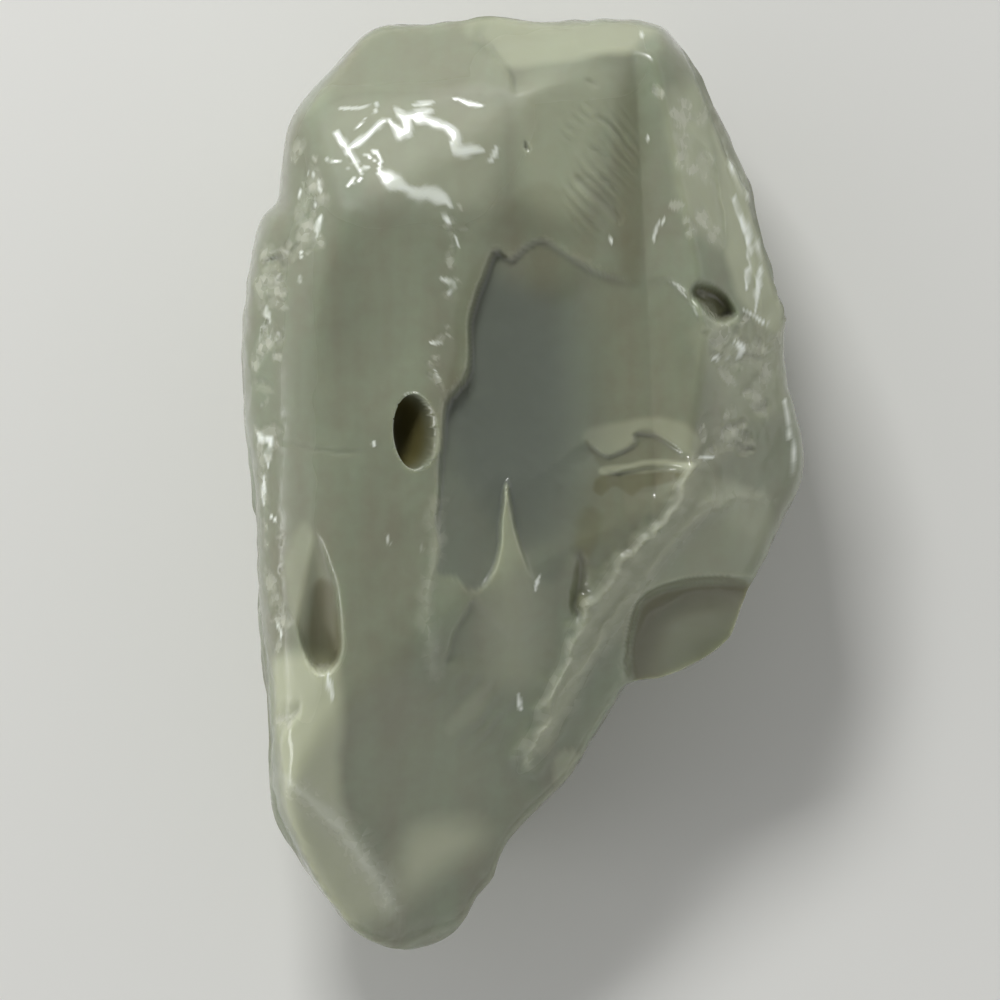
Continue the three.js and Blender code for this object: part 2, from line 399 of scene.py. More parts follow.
@dataclass(frozen=True)
class ReliefLine:
    """A ridge, crack or ledge along a drawn line in plan.

    A step lowers the skin on the left of the line's travel, and the drop dies away over run. The line
    is followed out to a number of its runs or widths, and the glass along it is marked as crushed,
    paler and with painted sheen, over a number of widths and a margin.
    """

    profile: Profile
    points: tuple[Point2, ...]
    height: float
    width: float
    run: float = 6.0
    fade: float = 2.0
    wander: float = 0.25
    # Share of crushed paleness with painted sheen along the line
    pale: float = 0.0
    runs_followed: float = 4.0
    widths_followed: float = 6.0
    widths_marked: float = 1.6
    marked_margin: float = 0.3

    def rise(self, plan: np.ndarray, jitter: np.ndarray) -> tuple[np.ndarray, np.ndarray]:
        """Work out the height that the line adds.

        A crest is h * exp(-|d| / w), a fold is h * exp(-(d / w)^2), a groove is a fold turned down, and
        a step is a drop of h across a width w that recovers as exp(-d / run).

        Args:
            plan: Places in plan, one a row.
            jitter: Noise at each place, between -1 and 1, that makes the line wander.

        Returns:
            Height added at each place in millimetres, and how much crushed paleness with painted sheen is
            there, from 0 to 1.
        """
        stepped = self.profile is Profile.STEP
        reach = self.runs_followed * self.run if stepped else self.widths_followed * self.width
        distance, ends = line_distance(self.points, plan, reach)
        distance = distance + self.wander * jitter
        fade = smooth_step(0.0, self.fade, ends)
        if self.profile is Profile.CREST:
            shape = self.height * np.exp(-np.abs(distance) / self.width)
        elif self.profile is Profile.FOLD:
            shape = self.height * np.exp(-(distance / self.width) ** 2)
        elif self.profile is Profile.GROOVE:
            shape = -self.height * np.exp(-(distance / self.width) ** 2)
        else:
            half = self.width / 2.0
            drop = smooth_step(-half, half, distance)
            shape = -self.height * drop * np.exp(-np.maximum(distance, 0.0) / self.run)
        crushed_and_sheen = self.widths_marked * self.width + self.marked_margin
        mark = self.pale * fade * np.exp(-(distance / crushed_and_sheen) ** 2)
        return shape * fade, mark


@dataclass(frozen=True)
class GlossLine:
    """A thin, polished fold or the glint on a chip, drawn in plan.

    Its tips are a share of its width and swell to the full width over a length. It is laid on as a painted
    highlight.
    """

    points: tuple[Point2, ...]
    width: float
    widths_followed: float = 4.0
    tip: float = 0.45
    tip_length: float = 1.5
    uneven: float = 0.6

    def mark(self, plan: np.ndarray, jitter: np.ndarray) -> np.ndarray:
        """Work out how much of the line is at each place: exp(-(d / w)^4).

        The width w swells and thins by noise and tapers towards both ends.

        Args:
            plan: Places in plan, one a row.
            jitter: Noise at each place, which makes the width uneven.

        Returns:
            Share of the line at each place, from 0 to 1.
        """
        distance, ends = line_distance(self.points, plan, self.widths_followed * self.width)
        taper = self.tip + (1.0 - self.tip) * smooth_step(0.0, self.tip_length, ends)
        width = self.width * taper * (1.0 + self.uneven * jitter)
        return np.exp(-(distance / width) ** 4)


@dataclass(frozen=True)
class EdgedScar:
    """A hollow with a broken edge of any outline: inside it the skin falls to a floor of two planes.

    Each plane is a height at a point and a slope along X and Y, and the floor is whichever of them is
    higher, with the line between them rounded and both dished along X and Y.
    """

    outline: tuple[Point2, ...]
    point: Point3
    left_slope: Point2
    right_slope: Point2
    wall: float
    round: float
    dish: Point2 = (0.0, 0.0)
    blend: float = 0.4
    wander: float = 0.2

    def floor(self, plan: np.ndarray) -> np.ndarray:
        """Work out the floor's height: the rounded maximum of the two planes, plus dish * offset^2.

        Args:
            plan: Places in plan, one a row.

        Returns:
            Height in millimetres at each place.
        """
        offset = plan - np.array(self.point[:2])
        left = self.point[2] + offset @ np.array(self.left_slope)
        right = self.point[2] + offset @ np.array(self.right_slope)
        return (offset ** 2) @ np.array(self.dish) - soft_min(-left, -right, self.round)

    def within(self, plan: np.ndarray) -> np.ndarray:
        """Give one inside the edge and nothing outside, rising across the wall."""
        return smooth_step(0.0, self.wall, depth_inside(self.outline, plan))

    def shade(self, plan: np.ndarray, near: float, far: float) -> np.ndarray:
        """Find the foot of the wall, where little light comes.

        Args:
            plan: Places in plan, one a row.
            near: Distance inside the edge up to which the shade is full.
            far: Distance inside the edge at which it ends.

        Returns:
            Share of shade at each place, and none outside the edge.
        """
        return self.within(plan) * smooth_step(far, near, depth_inside(self.outline, plan))

    def lowered(self, plan: np.ndarray, height: np.ndarray,
                jitter: np.ndarray) -> tuple[np.ndarray, np.ndarray]:
        """Let the skin down to the floor inside the outline, across a wall of the given width.

        Args:
            plan: Places in plan, one a row.
            height: The skin's height at each place.
            jitter: Noise at each place, which makes the edge wander.

        Returns:
            The new heights, and how deep the hollow is at each place, in millimetres.
        """
        depth = depth_inside(self.outline, plan) + self.wander * jitter
        half = self.wall / 2.0
        share = smooth_step(-half, half, depth)
        below = soft_min(height, self.floor(plan), self.blend)
        return height + (below - height) * share, share * (height - below)


@dataclass(frozen=True)
class Bubble:
    """A gas bubble laid open by a break: an ellipse of mouth that goes down into the glass and leans."""

    at: Point2
    half: Point2
    turn: float
    depth: float
    lean: Point2 = (0.0, 0.0)
    heavy: Point2 = (0.0, 0.0)

    def spin(self) -> np.ndarray:
        """Give the mouth's turn in plan as a matrix."""
        angle = math.radians(self.turn)
        return np.array([[math.cos(angle), -math.sin(angle)], [math.sin(angle), math.cos(angle)]])

    def local(self, plan: np.ndarray) -> np.ndarray:
        """Give places in units of the mouth's half-sizes along its own axes.

        Args:
            plan: Places in plan, one a row.

        Returns:
            Turned and scaled places, with the rim at a distance of one.
        """
        return ((plan - np.array(self.at)) @ self.spin()) / np.array(self.half)

    def fall(self, plan: np.ndarray) -> np.ndarray:
        """Work out the depth below the mouth: depth * sqrt(1 - r^2), more on the heavy side.

        Args:
            plan: Places in plan, one a row.

        Returns:
            Depth in millimetres, and nothing outside the mouth.
        """
        spot = self.local(plan)
        radius = np.hypot(spot[:, 0], spot[:, 1])
        round_part = np.sqrt(np.clip(1.0 - radius * radius, 0.0, 1.0))
        slant = 1.0 + spot[:, 0] * self.heavy[0] + spot[:, 1] * self.heavy[1]
        return self.depth * round_part * np.maximum(slant, 0.0)

    def snapped(self, plan: np.ndarray, band: float) -> np.ndarray:
        """Move places that lie close to the rim onto it, so the mouth has a clean edge.

        Args:
            plan: Places in plan, one a row.
            band: How near the rim counts, as a share of the mouth.

        Returns:
            The places, moved where they were close.
        """
        spot = self.local(plan)
        radius = np.hypot(spot[:, 0], spot[:, 1])
        close = np.abs(radius - 1.0) < band
        scale = np.where(close, 1.0 / np.maximum(radius, TINY), 1.0)
        moved = (spot * scale[:, None] * np.array(self.half)) @ self.spin().T + np.array(self.at)
        return np.where(close[:, None], moved, plan)


@dataclass(frozen=True)
class Pit:
    """A small pit with steep sides, of any outline: the skin drops by a depth across a lip and a wall."""

    outline: tuple[Point2, ...]
    depth: float
    wall: float
    lip: float = 0.2

    def fall(self, plan: np.ndarray) -> np.ndarray:
        """Give the depth of the pit at each place, rising smoothly across the lip and the wall."""
        return self.depth * smooth_step(-self.lip, self.wall, depth_inside(self.outline, plan))


@dataclass(frozen=True)
class ToneZone:
    """A patch of one tone laid on the front, inside an outline that it fades out across; what each tone
    stands for is told at Tone.
    """

    tone: Tone
    amount: float
    soft: float
    outline: tuple[Point2, ...]
    wander: float = 0.4

    def mark(self, plan: np.ndarray, jitter: np.ndarray) -> np.ndarray:
        """Work out the tone: amount inside, falling smoothly to nothing across the outline.

        Args:
            plan: Places in plan, one a row.
            jitter: Noise at each place, which makes the edge wander.

        Returns:
            Share of the tone at each place, from 0 to 1.
        """
        depth = depth_inside(self.outline, plan) + self.wander * jitter
        half = self.soft / 2.0
        return self.amount * smooth_step(-half, half, depth)


@dataclass(frozen=True)
class ChipRow:
    """A row of small chips struck off along a ridge: shallow dimples with sharp rims, placed by a seed.

    A chip is as long as a stretch of its width, its facet leans by a random slope from a level share
    of its depth, down to a greatest share, and it marks a random share of crushed paleness with painted
    sheen.
    """

    points: tuple[Point2, ...]
    count: int
    spread: float
    size: Point2
    depth: float
    seed: int
    steps: int = 12
    stretch: Point2 = (1.0, 2.2)
    turn: Point2 = (0.0, 180.0)
    lean: float = 0.9
    rim: float = 1.6
    level: float = 0.4
    greatest: float = 1.5
    crushed_and_sheen: Point2 = (0.2, 1.0)

    def rise(self, plan: np.ndarray) -> tuple[np.ndarray, np.ndarray]:
        """Work out the chips: each takes a tilted facet out of the skin inside its ellipse.

        Args:
            plan: Places in plan, one a row.

        Returns:
            Height added at each place, and how much of a chip is there, from 0 to 1.
        """
        draw = np.random.default_rng(self.seed)
        samples = curve_through(self.points, closed=False, per_span=self.steps)
        added = np.zeros(len(plan))
        mark = np.zeros(len(plan))
        for _ in range(self.count):
            centre = samples[draw.integers(len(samples))] + draw.normal(0.0, self.spread, 2)
            across = draw.uniform(*self.size)
            long = across * draw.uniform(*self.stretch)
            chip = Bubble(tuple(centre), (across, long), draw.uniform(*self.turn), 1.0)
            slope = draw.normal(0.0, self.lean, 2)
            spot = chip.local(plan)
            inside = np.clip(self.rim * (1.0 - np.sum(spot * spot, axis=1)), 0.0, 1.0)
            facet = np.clip(self.level + spot @ slope, 0.0, self.greatest)
            added = np.minimum(added, -self.depth * across * np.minimum(inside, facet))
            mark = np.maximum(mark, inside * draw.uniform(*self.crushed_and_sheen))
        return added, mark


@dataclass(frozen=True)
class FlakeRow:
    """Shell-shaped flakes struck off the sides all the way round.

    They lie above or below a ridge that keeps the outline, and the ridge rises and falls a number of
    times on its way round. A flake strays by a share of the spacing, and none lies within the berth
    of the place that is spared.
    """

    count: int
    upward: bool
    depth: Point2
    radius: Point2
    tall: Point2
    seed: int
    play: float = 0.3
    berth: float = 24.0
    round: float = 0.35
    climbs: int = 2

    def drawn(self, span: Point2, flake: int, item: FlakeSize) -> float:
        """Give a fixed number inside a span for one flake and one of its sizes, from a sine hash.

        Args:
            span: Least and greatest value.
            flake: Number of the flake.
            item: Which of its sizes.

        Returns:
            A value inside the span.
        """
        share = (1.0 + float(lattice_value(np.array([[flake, item.value, 0.0]]), self.seed)[0])) / 2.0
        return span[0] + (span[1] - span[0]) * share

    def scars(self, outline: tuple[Point2, ...], ridge: float, sway: float,
              spared: Point2) -> list[BowlScar]:
        """Place the flakes: each is a bowl of radius R whose centre lies R - depth outside the outline.

        Args:
            outline: Points of the outline, anticlockwise.
            ridge: Mean height of the ridge between the flakes.
            sway: How far the ridge rises and falls on its way round.
            spared: A place that the flakes keep clear of.

        Returns:
            The flakes, spaced evenly along the outline with some play.
        """
        corners = np.array(outline)
        spans = np.roll(corners, -1, axis=0) - corners
        lengths = np.linalg.norm(spans, axis=1)
        ends = np.cumsum(lengths)
        found = []
        for flake in range(self.count):
            stray = self.drawn((-self.play, self.play), flake, FlakeSize.STRAY)
            travel = ((flake + stray) / self.count % 1.0) * ends[-1]
            edge = int(np.argmax(ends >= travel))
            spot = corners[edge] + spans[edge] * (1.0 - (ends[edge] - travel) / lengths[edge])
            chord = corners[(edge + 2) % len(corners)] - corners[edge - 1]
            outward = np.array([chord[1], -chord[0]]) / np.hypot(*chord)
            if np.linalg.norm(spot - np.array(spared)) < self.berth:
                continue
            radius = self.drawn(self.radius, flake, FlakeSize.RADIUS)
            away = radius - self.drawn(self.depth, flake, FlakeSize.DEPTH)
            tall = self.drawn(self.tall, flake, FlakeSize.TALL)
            extent = tall * math.sqrt(1.0 - (away / radius) ** 2)
            level = ridge + sway * math.sin(self.climbs * FULL_TURN * travel / ends[-1])
            centre = spot + away * outward
            height = level + extent if self.upward else level - extent
            found.append(BowlScar((*centre, height), (radius, radius, tall), 0.0, self.round))
        return found


@dataclass(frozen=True)
class Ripple:
    """Rib marks of a shell-like break: rings that spread from the point where the blow fell."""

    at: Point3
    reach: float
    spacing: float
    height: float
    wander: float = 0.5

    def rise(self, points: np.ndarray, jitter: np.ndarray) -> np.ndarray:
        """Work out the ribs: height * sin(2 pi r / spacing) * exp(-(r / reach)^2), r from the blow.

        Args:
            points: Places on the skin, one a row.
            jitter: Noise at each place, which makes the ribs wander.

        Returns:
            Height added along the skin's normal, in millimetres.
        """
        distance = np.linalg.norm(points - np.array(self.at), axis=1) + self.wander * jitter
        ribs = np.sin(FULL_TURN * distance / self.spacing)
        return self.height * ribs * np.exp(-(distance / self.reach) ** 2)


@dataclass(frozen=True)
class Striation:
    """Fine hackle: straight parallel ripples on one face, fading out round its edge."""

    at: Point2
    half: Point2
    direction: float
    spacing: float
    height: float
    soft: float = 0.6
    filled: float = 0.55
    patchy: float = 0.8
    wander: float = 0.35

    def rise(self, plan: np.ndarray, jitter: np.ndarray) -> np.ndarray:
        """Work out the ripples: height * sin(2 pi d / spacing) across their run, inside a soft ellipse.

        Args:
            plan: Places in plan, one a row.
            jitter: Noise at each place, which breaks the ripples up.

        Returns:
            Height added at each place, in millimetres.
        """
        offset = plan - np.array(self.at)
        angle = math.radians(self.direction)
        across = -math.sin(angle) * offset[:, 0] + math.cos(angle) * offset[:, 1]
        inside = 1.0 - np.sum((offset / np.array(self.half)) ** 2, axis=1)
        kept = np.clip(self.filled + self.patchy * jitter, 0.0, 1.0)
        weight = smooth_step(0.0, self.soft, inside) * kept
        phase = FULL_TURN * (across + self.wander * jitter) / self.spacing
        return self.height * weight * np.sin(phase)


def add_node(tree: bpy.types.NodeTree, kind: str, inputs: dict | None = None,
             **settings: object) -> bpy.types.Node:
    """Add a node, set its properties and fill or link its inputs.

    Args:
        tree: Node tree to add to.
        kind: Blender's name for the node's type.
        inputs: Value or output socket for each input, by name or number.
        **settings: Properties of the node.

    Returns:
        The new node.
    """
    node = tree.nodes.new(kind)
    for name, value in settings.items():
        setattr(node, name, value)
    for socket, value in (inputs or {}).items():
        if isinstance(value, bpy.types.NodeSocket):
            tree.links.new(value, node.inputs[socket])
        else:
            node.inputs[socket].default_value = value
    return node


@dataclass(frozen=True)
class MilkyGlass:
    """Opal glass, cooled slowly in the pot and broken: cloudy all through, with a wet, glossy break.

    Light goes a few millimetres in and comes back grey-green, so edges glow pale. Fresh chips and
    ridges are crushed to a paler, duller white, which also carries painted sheen. A paler tone is
    painted light on faces turned towards the lamps and on thin edges, painted highlights lie on
    polished folds and chips, and bubbles, pits, grooves and the hollow take painted shade in olive and
    cool grey. The crumbs of a crushed ridge are too fine to show at their real size and are drawn
    about three times as coarse.
    """

    # Name of the material and of its slot
    name: str = "milky_glass"
    # The two body colours, and the colours of the tones laid over them
    body_green: str = "#8a937d"
    body_grey: str = "#848572"
    # Cool tone of the hollow, deepened there as painted shade
    cool_grey: str = "#696f66"
    # Painted shade in bubbles, pits, the trough, grooves and under ledges
    olive: str = "#5a5227"
    # Crushed glass on chips and ridges, whiter, with painted sheen
    bruise_and_sheen: str = "#bcbeae"
    # Painted light on faces turned towards the lamps and on thin edges, and paler crackled glass
    pale: str = "#b2b69d"
    # Painted highlights
    glint: str = "#e3e8df"
    # Refraction, and the roughness of bare glass with what satin and crushed places add to it
    ior: float = 1.52
    roughness: float = 0.15
    satin_roughness: float = 0.5
    crushed_roughness: float = 0.3
    # Clouds, streaks and grain that mix the two body colours
    cloud_mm: float = 14.0
    cloud_detail: float = 6.0
    cloud_roughness: float = 0.65
    streak_mm: float = 3.4
    streak_detail: float = 2.0
    streak_stretch: Point3 = (1.0, 0.12, 0.3)
    grain_mm: float = 1.6
    grain_detail: float = 3.0
    grain_share: float = 0.5
    body_span: Point2 = (0.95, 1.55)
    # Crumbs of crushed places, pale with painted sheen: size, faintest share, the span that shows, and how
    # strongly
    crumb_mm: float = 0.9
    crumb_least: float = 0.35
    crushed_and_sheen_span: Point2 = (0.05, 0.9)
    crushed_and_sheen_most: float = 0.8
    # Bump of crumbs against grain, its strength and its height
    crushed_bump: float = 3.0
    bump_strength: float = 0.12
    bump_mm: float = 0.1
    # How milky the glass is, and how deep light of each colour goes in
    milk_share: float = 0.75
    depth_mm: float = 2.2
    depth_colour: Point3 = (1.0, 1.0, 0.8)

    def material(self) -> bpy.types.Material:
        """Build the node material.

        Clouds, streaks and grain mix the two body colours. Each tone's attribute then lays its colour
        over them, including painted light, painted shade, painted sheen and painted highlights, and
        crushed, satin and grained places change the roughness and the bump.

        Returns:
            The finished material.
        """
        material = bpy.data.materials.new(self.name)
        material.use_nodes = True
        tree = material.node_tree
        tree.nodes.clear()
        place = add_node(tree, "ShaderNodeTexCoord").outputs["Object"]
        share = {tone: add_node(tree, "ShaderNodeAttribute", attribute_name=tone.value).outputs["Fac"]
                 for tone in Tone}
        cloud = add_node(tree, "ShaderNodeTexNoise", {
            "Vector": place, "Scale": 1.0 / (self.cloud_mm * MM), "Detail": self.cloud_detail,
            "Roughness": self.cloud_roughness})
        stretch = add_node(tree, "ShaderNodeMapping", {"Vector": place, "Scale": self.streak_stretch})
        streak = add_node(tree, "ShaderNodeTexNoise", {
            "Vector": stretch.outputs[0], "Scale": 1.0 / (self.streak_mm * MM),
            "Detail": self.streak_detail})
        grain = add_node(tree, "ShaderNodeTexNoise", {
            "Vector": place, "Scale": 1.0 / (self.grain_mm * MM), "Detail": self.grain_detail})
        blend = add_node(tree, "ShaderNodeMath", {
            0: cloud.outputs[0], 1: streak.outputs[0]}, operation="ADD")
        grained = add_node(tree, "ShaderNodeMath", {
            0: grain.outputs[0], 1: self.grain_share, 2: blend.outputs[0]}, operation="MULTIPLY_ADD")
        spread = add_node(tree, "ShaderNodeMapRange", {
            "Value": grained.outputs[0], "From Min": self.body_span[0], "From Max": self.body_span[1]})
        crumb = add_node(tree, "ShaderNodeTexVoronoi", {
            "Vector": place, "Scale": 1.0 / (self.crumb_mm * MM)})
        flake = add_node(tree, "ShaderNodeSeparateColor", {0: crumb.outputs["Color"]})
        crumbled = add_node(tree, "ShaderNodeMapRange", {
            "Value": flake.outputs[0], "To Min": self.crumb_least})
        crushed_and_sheen = add_node(tree, "ShaderNodeMath", {
            0: share[Tone.BRUISE_AND_SHEEN], 1: crumbled.outputs[0]}, operation="MULTIPLY")
        crushed_and_sheen_share = add_node(tree, "ShaderNodeMapRange", {
            "Value": crushed_and_sheen.outputs[0], "From Min": self.crushed_and_sheen_span[0],
            "From Max": self.crushed_and_sheen_span[1], "To Max": self.crushed_and_sheen_most})
        # Painted light (pale), cool tone with painted shade, painted olive shade, crushed glass with
        # painted sheen, painted highlights (glint)
        layers = (
            (spread.outputs[0], self.body_grey),
            (share[Tone.PALE], self.pale),
            (share[Tone.COOL], self.cool_grey),
            (share[Tone.OLIVE], self.olive),
            (crushed_and_sheen_share.outputs[0], self.bruise_and_sheen),
            (share[Tone.GLINT], self.glint),
        )
        colour = linear(self.body_green)
        for amount, code in layers:
            colour = add_node(tree, "ShaderNodeMix", {
                MIX_SHARE: amount, MIX_UNDER: colour, MIX_OVER: linear(code)},
                data_type="RGBA").outputs[MIX_COLOUR]
        satin = add_node(tree, "ShaderNodeMath", {
            0: share[Tone.DULL], 1: self.satin_roughness, 2: self.roughness}, operation="MULTIPLY_ADD")
        roughness = add_node(tree, "ShaderNodeMath", {
            0: crushed_and_sheen.outputs[0], 1: self.crushed_roughness, 2: satin.outputs[0]},
            operation="MULTIPLY_ADD")
        height = add_node(tree, "ShaderNodeMath", {
            0: crushed_and_sheen.outputs[0], 1: self.crushed_bump, 2: grain.outputs[0]}, operation="MULTIPLY_ADD")
        bump = add_node(tree, "ShaderNodeBump", {
            "Height": height.outputs[0], "Strength": self.bump_strength, "Distance": self.bump_mm * MM})
        shader = add_node(tree, "ShaderNodeBsdfPrincipled", {
            "Base Color": colour,
            "Roughness": roughness.outputs[0],
            "IOR": self.ior,
            "Subsurface Weight": self.milk_share,
            "Subsurface Radius": self.depth_colour,
            "Subsurface Scale": self.depth_mm * MM,
            "Normal": bump.outputs[0]}, subsurface_method="RANDOM_WALK")
        add_node(tree, "ShaderNodeOutputMaterial", {"Surface": shader.outputs[0]})
        return material


# Course of the diagonal ridge in plan, which its broad swell and its sharp crest share
RIDGE: tuple[Point2, ...] = (
    (20.8, 3.4), (19.6, 0.2), (17.3, -4.2), (14.9, -6.6), (12.2, -9.6), (9.6, -12.8), (7.4, -16.2),
    (6.4, -18.8), (4.9, -22.8), (3.6, -26.4), (1.6, -30.8), (-0.4, -34.4),
)


@dataclass
class CulletLump:
    """The lump: a rounded slab with its outline, broken flat, scarred, bubbled and chipped."""

    # Node that the skin stands in for, and the body that it rides on
    node: str = "cullet"
    body: str = "root"
    # Spokes of the grid, and the rings on its top, shoulder, wall and underside
    spokes: int = 560
    top_rings: int = 96
    shoulder_rings: int = 34
    wall_rings: int = 31
    under_rings: int = 14
    # Middle of the grid, and how far out its rays still start in line with their ends
    heart: Point3 = (-0.4, 3.4, 20.0)
    inner_share: float = 0.72
    # The slab before any break: its top, how far it sinks below the floor, and its widest level
    crest_height: float = 48.0
    sink_depth: float = 5.0
    girth_height: float = 18.0
    girth_sway: float = 3.0
    girth_phase: float = 0.6
    # How far the ridge between the flakes on the sides rises and falls
    ridge_sway: float = 4.0
    # The slab's profile: roundness, mean reach and rise, and where its four parts meet
    rounding: float = 0.55
    mean_reach: float = 42.0
    mean_rise: float = 28.0
    top_share: float = 0.86
    wall_top: float = 0.55
    wall_foot: float = -0.8
    # Samples along the profile and round the outline
    profile_samples: int = 20001
    outline_samples: int = 7200
    # Longest share of a ray that a cut is worked out to
    longest_cut: float = 4.0
    # How far up a place has to face to be in a bubble, and the band drawn onto a rim
    bubble_facing: float = 0.2
    rim_band: float = 0.06
    # How ragged and patchy the drawn marks are, how far they stray, how high they stand, and how strongly
    # a polished fold is painted as a highlight
    ragged_share: float = 0.6
    patch_mean: float = 0.75
    chip_stray: float = 0.35
    gloss_stray: float = 0.3
    gloss_rise: float = 0.08
    gloss_share: float = 0.8
    glint_stray: float = 0.25
    glint_rise: float = 0.15
    fine_swell: float = 0.03
    # Least coolness of the hollow, whose cool tone carries painted shade, and the painted olive shade at
    # the foot of the scoop's wall
    cool_least: float = 0.42
    scoop_shade_share: float = 0.6
    scoop_shade: Point2 = (0.8, 7.0)
    # Grid steps over which a ridge is measured, and a gap that is added to their length
    ridge_step: int = 2
    ridge_gap: float = 0.4
    # Where the front begins, by its facing and its height
    front: Ramp = Ramp(1.0, 0.15, 0.45)
    upper: Ramp = Ramp(1.0, 23.0, 26.5)
    # How depth, place and sharpness turn into painted olive shade, cool tone with painted shade, and
    # crushed wear with painted sheen
    shaft_shade: Ramp = Ramp(0.88, 0.3, 3.6)
    trough_shade: Ramp = Ramp(0.2, 0.4, 2.0)
    pit_shade: Ramp = Ramp(0.5, 0.6, 2.4)
    hollow_cool: Ramp = Ramp(1.0, 0.4, 2.6)
    cool_leftward: Ramp = Ramp(0.5, 17.0, 3.0)
    wear_and_sheen: Ramp = Ramp(0.16, 0.03, 0.12)
    # Noise that makes edges wander, breaks marks into patches and swells the whole skin
    jitter: Unevenness = Unevenness(1.0, 2.4, 1)
    fine: Unevenness = Unevenness(1.0, 1.1, 2)
    patches: Unevenness = Unevenness(0.9, 0.9, 5)
    swells: tuple[Unevenness, ...] = (Unevenness(0.16, 7.0, 3), Unevenness(0.08, 3.2, 4))
    # What the skin is made of
    finish: MilkyGlass = field(default_factory=MilkyGlass)
    # Shapes drawn in plan: first the outline, then what is broken off it and marked on it
    outline: tuple[Point2, ...] = (
        (33.1, 3.4), (32.4, 7.5), (31.2, 11.7), (30.8, 16.7), (31.3, 20.5), (30.2, 24.2), (28.8, 28.9),
        (27.5, 33.4), (25.5, 37.8), (23.4, 42.6), (21.2, 47.5), (18.9, 50.8), (16.1, 53.4),
        (11.4, 54.2), (4.4, 54.2), (-0.9, 54.6), (-3.9, 55.0), (-7.4, 54.4), (-11.5, 53.8),
        (-16.2, 53.5), (-18.9, 52.0), (-22.1, 48.7), (-25.3, 45.2), (-27.4, 41.7), (-28.2, 36.9),
        (-28.7, 33.1), (-30.6, 30.8), (-31.7, 26.9), (-32.5, 22.2), (-32.9, 16.9), (-32.6, 7.5),
        (-31.7, -1.9), (-31.4, -11.3), (-30.6, -21.9), (-30.0, -31.3), (-29.2, -38.9), (-26.8, -43.5),
        (-22.9, -49.2), (-19.2, -53.2), (-14.5, -55.0), (-11.5, -54.8), (-8.0, -53.1), (-6.1, -50.8),
        (-5.4, -49.2), (-3.4, -46.8), (-2.7, -44.5), (-1.1, -41.7), (2.6, -37.9), (5.5, -34.8),
        (8.2, -30.2), (10.5, -26.6), (12.6, -23.7), (17.1, -22.8), (21.4, -20.8), (24.4, -18.4),
        (25.5, -15.8), (26.7, -12.5), (28.6, -8.9), (30.6, -4.6), (32.6, -0.4),
    )
    breaks: tuple[FlatBreak, ...] = (
        # Left front face
        FlatBreak((-16.8, 18, 42.4), 190, 5, 1.0),
        # Lower front face
        FlatBreak((-9, -30, 40.0), 292, 6, 3.5),
        # Bevel on the left
        FlatBreak((-28.3, 8, 38.5), 182, 50, 1.0),
        # Bevel at the upper left
        FlatBreak((-26, 30, 38.5), 165, 42, 1.5),
        # Bevel at the lower left
        FlatBreak((-21.5, -30, 40.3), 186, 24, 1.2),
        # Left side of the foot
        FlatBreak((-20.4, -41.6, 39.0), 217, 42, 1.0),
        # Top band, left part
        FlatBreak((-14, 47, 35.6), 104, 43, 0.8),
        # Crinkled dome
        FlatBreak((-12, 36.5, 41.3), 106, 23.5, 0.8),
        # Top band, right part
        FlatBreak((7, 50, 38.5), 87, 60, 0.4),
        # Bevel at the upper right
        FlatBreak((24, 31, 35), 16, 48, 1.5),
        # Bulge on the right
        FlatBreak((27, 5, 33), 352, 44, 2.0),
        # Face between the ridge and the scoop
        FlatBreak((19.6, -7, 35), 305, 34, 1.2),
        # Face below the ridge
        FlatBreak((5.5, -28, 36.0), 322, 46, 1.0),
        # Left side, undercut
        FlatBreak((-29, 0, 10), 185, 118),
        # Right side, undercut
        FlatBreak((27, 12, 8), 8, 126),
        # Head end, undercut
        FlatBreak((0, 50, 11), 95, 122),
        # Foot end, undercut
        FlatBreak((-13, -49, 8), 258, 130),
        # Side below the ridge, undercut
        FlatBreak((12, -22, 7), 318, 128),
    )
    valleys: tuple[Valley, ...] = (
        # Valley between the dome and the right bevel
        Valley(FlatBreak((13.8, 36, 37.6), 15, 9), FlatBreak((13.8, 36, 37.6), 178, 22), 0.8),
    )
    scars: tuple[BowlScar, ...] = (
        # Dish in the left front face
        BowlScar((-17.5, 17, 62), (18, 26, 21), 0, 1.5),
        # Bowl of the brow
        BowlScar((2.5, 27, 56.5), (13, 11, 17.5), -6, 2.5),
        # Head end
        BowlScar((2, 66, 20), (20, 15, 16), 0),
        # Right side
        BowlScar((43, 22, 17), (14, 19, 15), 10),
        # Left side
        BowlScar((-44, -14, 14), (14, 24, 15), 4),
        # Side below the ridge
        BowlScar((16, -40, 14), (15, 12, 14), 35),
        # Resting face
        BowlScar((-4, 6, -28), (26, 34, 30), 20),
    )
    scoop: EdgedScar = EdgedScar(
        outline=(
            (26.8, -11.6), (21.6, -11.5), (18.6, -11.9), (15.5, -12.9), (13.5, -14.7), (12.5, -18.4),
            (12.2, -21.4), (12.6, -23.6), (14.0, -28.0), (24.0, -27.0), (33.0, -19.0), (32.0, -11.5)),
        point=(20.5, -18.5, 20.0), left_slope=(-0.25, 0.3), right_slope=(-0.25, 0.3), wall=1.1,
        round=1.0, dish=(0.05, 0.06), blend=0.5, wander=0.0)
    trough: EdgedScar = EdgedScar(
        outline=(
            (-25.3, -4.7), (-24.1, -5.9), (-23.2, -7.8), (-22.2, -10.7), (-21.4, -14.2),
            (-21.2, -18.4), (-21.5, -20.7), (-22.4, -21.8), (-23.3, -22.1), (-24.4, -21.6),
            (-25.2, -20.1), (-26.2, -17.2), (-27.4, -13.6), (-28.2, -10.1), (-27.4, -7.2),
            (-26.2, -5.4)),
        point=(-23.2, -18.5, 36.6), left_slope=(-0.5, 0.25), right_slope=(1.2, 0.25), wall=0.6,
        round=2.5, wander=0.1)
